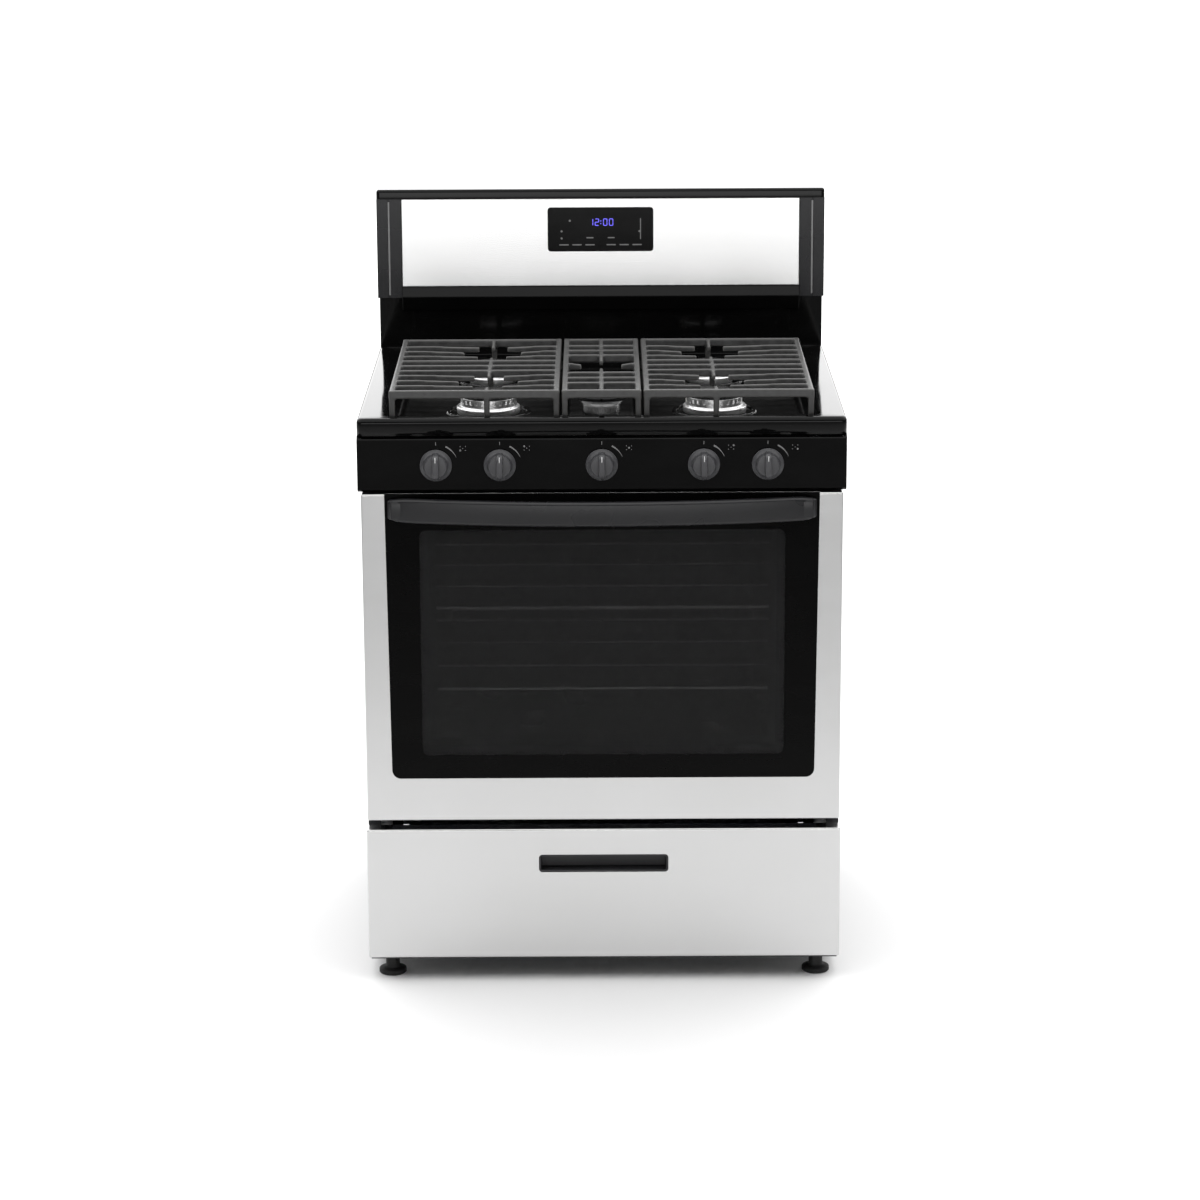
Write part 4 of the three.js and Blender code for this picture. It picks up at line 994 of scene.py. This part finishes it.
def door():
    low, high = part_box("door_frame")
    body = simple_mesh(block_mesh, low, high, 3.0 * MM, 5)
    hole = simple_mesh(prism_mesh, door_outline(0.4 * MM, high.z + 0.02), (low.y - 0.01, low.y + 5 * MM))
    back_low = (low.x + 4 * MM, low.y + 4.9 * MM, low.z + 20 * MM)
    back = simple_mesh(block_mesh, back_low, (high.x - 4 * MM, high.y + 0.01, high.z - 2 * MM))
    mesh = edged(carved(body, [hole, back]), 0.5 * MM, 2)
    place("door_frame_skin", mesh, "door_frame", replaced=("door_frame",))

    glass_low, glass_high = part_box("door_glass_outer")
    pane = simple_mesh(prism_mesh, door_outline(0.0, glass_high.z), (glass_low.y, glass_high.y))
    sight_half, sight_low, sight_high = 285 * MM, glass_low.z + 38 * MM, glass_high.z - 58 * MM
    outline = rounded_outline((-sight_half, sight_low), (sight_half, sight_high), 10 * MM, 8)
    hole = simple_mesh(prism_mesh, outline, (glass_low.y - 0.01, glass_high.y + 0.01))
    border = edged(carved(pane, [hole]), 0.3 * MM, 2)
    place("door_glass_border", border, "door_glass_outer", replaced=("door_glass_outer",))
    play = 0.1 * MM
    pane_low, pane_high = (-sight_half + play, sight_low + play), (sight_half - play, sight_high - play)
    outline = rounded_outline(pane_low, pane_high, 10 * MM, 8)
    window = simple_mesh(prism_mesh, outline, (glass_low.y + 0.1 * MM, glass_high.y))
    place("door_window", window, "door_glass_outer", WINDOW_TINT)
    bm = bmesh.new()
    face = glass_high.y + 0.2 * MM
    pitch = 5 * MM
    for row in range(3):
        size = (1.7 - 0.45 * row) * MM
        inset = (3 + row * 4.2) * MM
        x1, z0, z1 = sight_half - inset, sight_low + inset, sight_high - inset
        across = int(2 * x1 / pitch)
        up = int((z1 - z0) / pitch)
        spots = [(-x1 + 2 * x1 * i / across, z) for i in range(across + 1) for z in (z0, z1)]
        spots += [(x, z0 + (z1 - z0) * i / up) for i in range(1, up) for x in (-x1, x1)]
        for x, z in spots:
            points = [bm.verts.new((u, face, v)) for u, v in arc((x, z), size, 0, 300, 5)]
            bm.faces.new(points)
    mesh = bpy.data.meshes.new("dots")
    bm.to_mesh(mesh)
    bm.free()
    place("window_dot_border", mesh, "door_glass_outer", LOOK["dark_glass"])

    edged_node("door_liner", 0.6 * MM)
    inner = edged(cad_copy("door_glass_inner"), 0.5 * MM, 2)
    place("door_inner_pane", inner, "door_glass_inner", replaced=("door_glass_inner",))
    door_screws()
    handle()


def screw_mesh(radius):
    bm = bmesh.new()
    profile = [(radius, 0.0), (radius, 0.5 * MM)]
    profile += arc((radius - 1.2 * MM, 0.5 * MM), 1.2 * MM, 0, 80, 5)
    profile += [(0.9 * MM, 1.9 * MM)]
    lathe_mesh(bm, profile, 32)
    body = finish_mesh(bm, "screw", 50.0)
    slot = radius * 0.75
    cuts = [simple_mesh(block_mesh, (-slot, -0.35 * MM, 1.0 * MM), (slot, 0.35 * MM, 3 * MM)),
            simple_mesh(block_mesh, (-0.35 * MM, -slot, 1.0 * MM), (0.35 * MM, slot, 3 * MM))]
    return carved(body, cuts)


def facing(direction, location):
    """A placement that turns +Z towards a direction."""
    turn = Vector(direction).to_track_quat("Z", "Y").to_matrix().to_4x4()
    return Matrix.Translation(location) @ turn


def door_screws():
    low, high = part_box("door_liner")
    mesh = screw_mesh(3.5 * MM)
    number = 0
    for x in (-0.33, -0.11, 0.11, 0.33):
        for z in (high.z - 22 * MM, low.z + 22 * MM):
            number += 1
            seat = facing((0, 1, 0), (x, high.y - 0.3 * MM, z))
            place(f"liner_screw_{number}", mesh, "door_liner", SCREW_STEEL, matrix=seat)


def handle():
    """Bowed grip with a soft rectangular section. Its ends curl back to meet the door."""
    low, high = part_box("door_handle")
    glass_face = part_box("door_glass_outer")[0].y
    half = high.x - 1 * MM
    reach = high.y - low.y
    bow = reach * 0.72
    thick = 14 * MM
    tall = (high.z - low.z) / 2
    middle = (low.z + high.z) / 2
    path = []
    steps = 60
    for i in range(steps + 1):
        share = -1 + 2 * i / steps
        x = (half - thick / 2) * share
        curl = 0.0
        if abs(share) > 0.965:
            curl = ((abs(share) - 0.965) / 0.035) ** 2 * 4 * MM
        path.append(Vector((x, low.y + thick / 2 + 0.2 * MM + bow * share * share + curl, middle)))
    rings = []
    for i, point in enumerate(path):
        along = (path[min(i + 1, steps)] - path[max(i - 1, 0)]).normalized()
        across = Vector((along.y, -along.x, 0))
        end = min(i, steps - i)
        shrink = 1.0 if end > 3 else (0.80, 0.93, 0.98, 0.995)[end]
        deep, up = thick / 2 * shrink, (tall - 0.2 * MM) * shrink
        section = rounded_outline((-deep, -up), (deep, up), min(5.5 * MM, deep * 0.85), 6)
        rings.append([point + across * u + Vector((0, 0, v)) for u, v in section])
    bm = bmesh.new()
    loft_mesh(bm, rings)
    grip = finish_mesh(bm, "grip", 55.0)
    place("door_handle_bar", grip, "door_handle", replaced=("door_handle",))
    for name, side in SIDES:
        x = side * (half - 20 * MM)
        post = simple_mesh(block_mesh, (x - 12 * MM, path[2].y - 6 * MM, middle - tall + 5 * MM),
                           (x + 12 * MM, glass_face - 0.1 * MM, middle + tall - 5 * MM), 3 * MM, 4)
        place(f"door_handle_post_{name}", post, "door_handle")


# ---- drawer -------------------------------------------------------------------------------------
def drawer():
    low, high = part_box("drawer_front")
    grip_low, grip_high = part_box("drawer_grip")
    body = simple_mesh(block_mesh, low, high, 3.0 * MM, 5)
    outline = rounded_outline((grip_low.x - 0.4 * MM, grip_low.z - 0.4 * MM),
                              (grip_high.x + 0.4 * MM, grip_high.z + 0.4 * MM), 5.4 * MM, 8)
    hole = simple_mesh(prism_mesh, outline, (low.y - 0.01, high.y + 0.01))
    skin = edged(carved(body, [hole]), 0.5 * MM, 2)
    place("drawer_front_skin", skin, "drawer_front", replaced=("drawer_front",))

    outline = rounded_outline((grip_low.x, grip_low.z), (grip_high.x, grip_high.z), 5 * MM, 8)
    outer = simple_mesh(prism_mesh, outline, (grip_low.y, grip_high.y))
    lip = 2.6 * MM
    pocket = simple_mesh(block_mesh, (grip_low.x + lip, grip_low.y - 0.02, grip_low.z + lip),
                         (grip_high.x - lip, grip_high.y - 2 * MM, grip_high.z - lip), 2.4 * MM, 4)
    cup = edged(carved(outer, [pocket]), 0.7 * MM, 3)
    place("drawer_grip_cup", cup, "drawer_grip", replaced=("drawer_grip",))
    edged_node("drawer_bin", 0.35 * MM)


# ---- oven and cabinet ---------------------------------------------------------------------------
def rack(node):
    """Bright wire shelf: a heavy border with round corners, thin wires, two cross wires and a back stop."""
    low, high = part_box(node)
    heavy, thin = 3.0 * MM, 1.9 * MM
    level = low.z + heavy
    bm = bmesh.new()
    outline = rounded_outline((low.x + heavy, low.y + heavy), (high.x - heavy, high.y - heavy), 18 * MM, 6)
    path = [(x, y, level) for x, y in outline]
    tube_mesh(bm, path + path[:1], heavy, 12)
    wires = 19
    z = level + thin * 0.5
    stations = (low.y + heavy * 1.2, (low.y + high.y) / 2, high.y - heavy * 1.2)
    for i in range(1, wires + 1):
        x = low.x + (high.x - low.x) * i / (wires + 1)
        tube_mesh(bm, [(x, y, z) for y in stations], thin, 8)
    z = level - 1.0 * MM
    for share in (1 / 3, 2 / 3):
        y = low.y + (high.y - low.y) * share
        tube_mesh(bm, [(low.x + heavy, y, z), (high.x - heavy, y, z)], thin, 8)
    back, top = high.y - heavy, high.z - 2.2 * MM
    inset = 42 * MM
    stop = [(low.x + inset, back, level)]
    stop += [(x, back, z) for x, z in arc((low.x + inset + 8 * MM, top - 8 * MM), 8 * MM, 180, 90, 5)]
    stop += [(x, back, z) for x, z in arc((high.x - inset - 8 * MM, top - 8 * MM), 8 * MM, 90, 0, 5)]
    stop += [(high.x - inset, back, level)]
    tube_mesh(bm, stop, 2.2 * MM, 10)
    place(f"{node}_wires", finish_mesh(bm, node, 60.0), node, replaced=(node,))


def foot(node):
    low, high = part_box(node)
    middle = centre_of(node)
    pad = (high.x - low.x) / 2
    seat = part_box("base_frame")[0].z - 0.4 * MM
    bm = bmesh.new()
    profile = [(pad - 1.5 * MM, 0.0), (pad, 1.5 * MM), (pad, 6 * MM)]
    profile += arc((pad - 2 * MM, 6 * MM), 2 * MM, 0, 90, 4)
    profile += [(12 * MM, 10 * MM), (11.2 * MM, 12 * MM), (11 * MM, seat - 0.6 * MM)]
    profile += [(10.4 * MM, seat), (5 * MM, seat)]
    turns = 9
    step = (high.z - seat - 1.5 * MM) / turns
    for i in range(turns):
        z = seat + 0.6 * MM + step * i
        profile += [(4.9 * MM, z), (4.3 * MM, z + step * 0.5)]
    profile += [(4.6 * MM, high.z - 0.6 * MM), (3.8 * MM, high.z)]

    def hexagon(radius, height, index):
        if not 12.5 * MM < height + 1e-6 < seat or abs(radius - 11 * MM) > 0.7 * MM:
            return radius
        turn = (index / 48 * 360) % 60 - 30
        return radius * math.cos(math.radians(30)) / math.cos(math.radians(turn))

    lathe_mesh(bm, profile, 48, hexagon)
    under = Matrix.Translation((middle.x, middle.y, low.z))
    place(f"{node}_shape", finish_mesh(bm, node, 30.0), node, replaced=(node,), matrix=under)


def smooth_tube(node, radius):
    """An oven burner tube, bent round its two front corners."""
    low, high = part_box(node)
    z = (low.z + high.z) / 2
    turn = 26 * MM
    x1, front = high.x - radius, low.y + radius
    path = [(-x1, high.y, z), (-x1, front + turn, z)]
    path += [(x, y, z) for x, y in arc((-x1 + turn, front + turn), turn, 180, 270, 8)]
    path += [(x, y, z) for x, y in arc((x1 - turn, front + turn), turn, 270, 360, 8)]
    path += [(x1, high.y if node == "broil_burner" else high.y - 85 * MM, z)]
    if node == "bake_burner":
        path[0], path[-1] = (-x1, high.y - 85 * MM, z), (x1, high.y, z)
    bm = bmesh.new()
    tube_mesh(bm, path, radius, 24)
    place(f"{node}_tube", finish_mesh(bm, node, 50.0), node, replaced=(node,))


def rear_details():
    """Stiffening ribs, cooling louvres and screws on the back."""
    low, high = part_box("rear_cover")
    face = high.y
    for number, x in enumerate((-0.22, 0.0, 0.22), 1):
        rib_low = (x - 9 * MM, face - 0.6 * MM, low.z + 0.28)
        rib_high = (x + 9 * MM, face + 1.9 * MM, high.z - 0.12)
        rib = simple_mesh(block_mesh, rib_low, rib_high, 1.1 * MM, 4)
        place(f"rear_rib_{number}", rib, "rear_cover")
    number = 0
    for row in range(6):
        for x in (-0.16, 0.16):
            z = low.z + 0.08 + row * 18 * MM
            number += 1
            bm = bmesh.new()
            root, lip = face - 0.3 * MM, face + 2.2 * MM
            outline = [(root, z), (lip, z + 1 * MM), (lip, z + 2 * MM), (root, z + 9 * MM)]
            prism_mesh(bm, outline, (x - 55 * MM, x + 55 * MM), "yz")
            place(f"rear_louvre_{number}", edged(finish_mesh(bm, "louvre"), 0.4 * MM, 2), "rear_cover")
    mesh = screw_mesh(4 * MM)
    number = 0
    for z in (low.z + 14 * MM, low.z + 0.28, (low.z + high.z) / 2, high.z - 0.2, high.z - 14 * MM):
        for x in (low.x + 10 * MM, high.x - 10 * MM):
            number += 1
            seat = facing((0, 1, 0), (x, face - 0.2 * MM, z))
            place(f"rear_screw_{number}", mesh, "rear_cover", SCREW_STEEL, matrix=seat)


def cabinet():
    for name, _ in SIDES:
        edged_node(f"side_panel_{name}", 0.5 * MM)
        for end in ("front", "rear"):
            foot(f"foot_{end}_{name}")
    for node in ("base_frame", "rear_cover", "oven_floor_panel"):
        edged_node(node, 0.35 * MM)
    for node in ("bake_burner", "broil_burner"):
        smooth_tube(node, 8 * MM)
    for node in ("rack_lower", "rack_upper"):
        rack(node)
    rear_details()


def dress_cad_nodes():
    """Gives every CAD node that stays in view its material."""
    for node, piece in frame["nodes"].items():
        piece.data.materials.clear()
        piece.data.materials.append(NODE_LOOK.get(node) or LOOK[NODE_SLOT[node]])


dress_cad_nodes()
add_camera()
add_studio()
cooktop_pan()
for burner_name in BURNERS:
    burner(burner_name)
for side_name, _ in SIDES:
    side_grate(side_name)
centre_grate()
control_panel()
for knob_index in range(1, 6):
    knob(knob_index)
backguard()
door()
drawer()
cabinet()
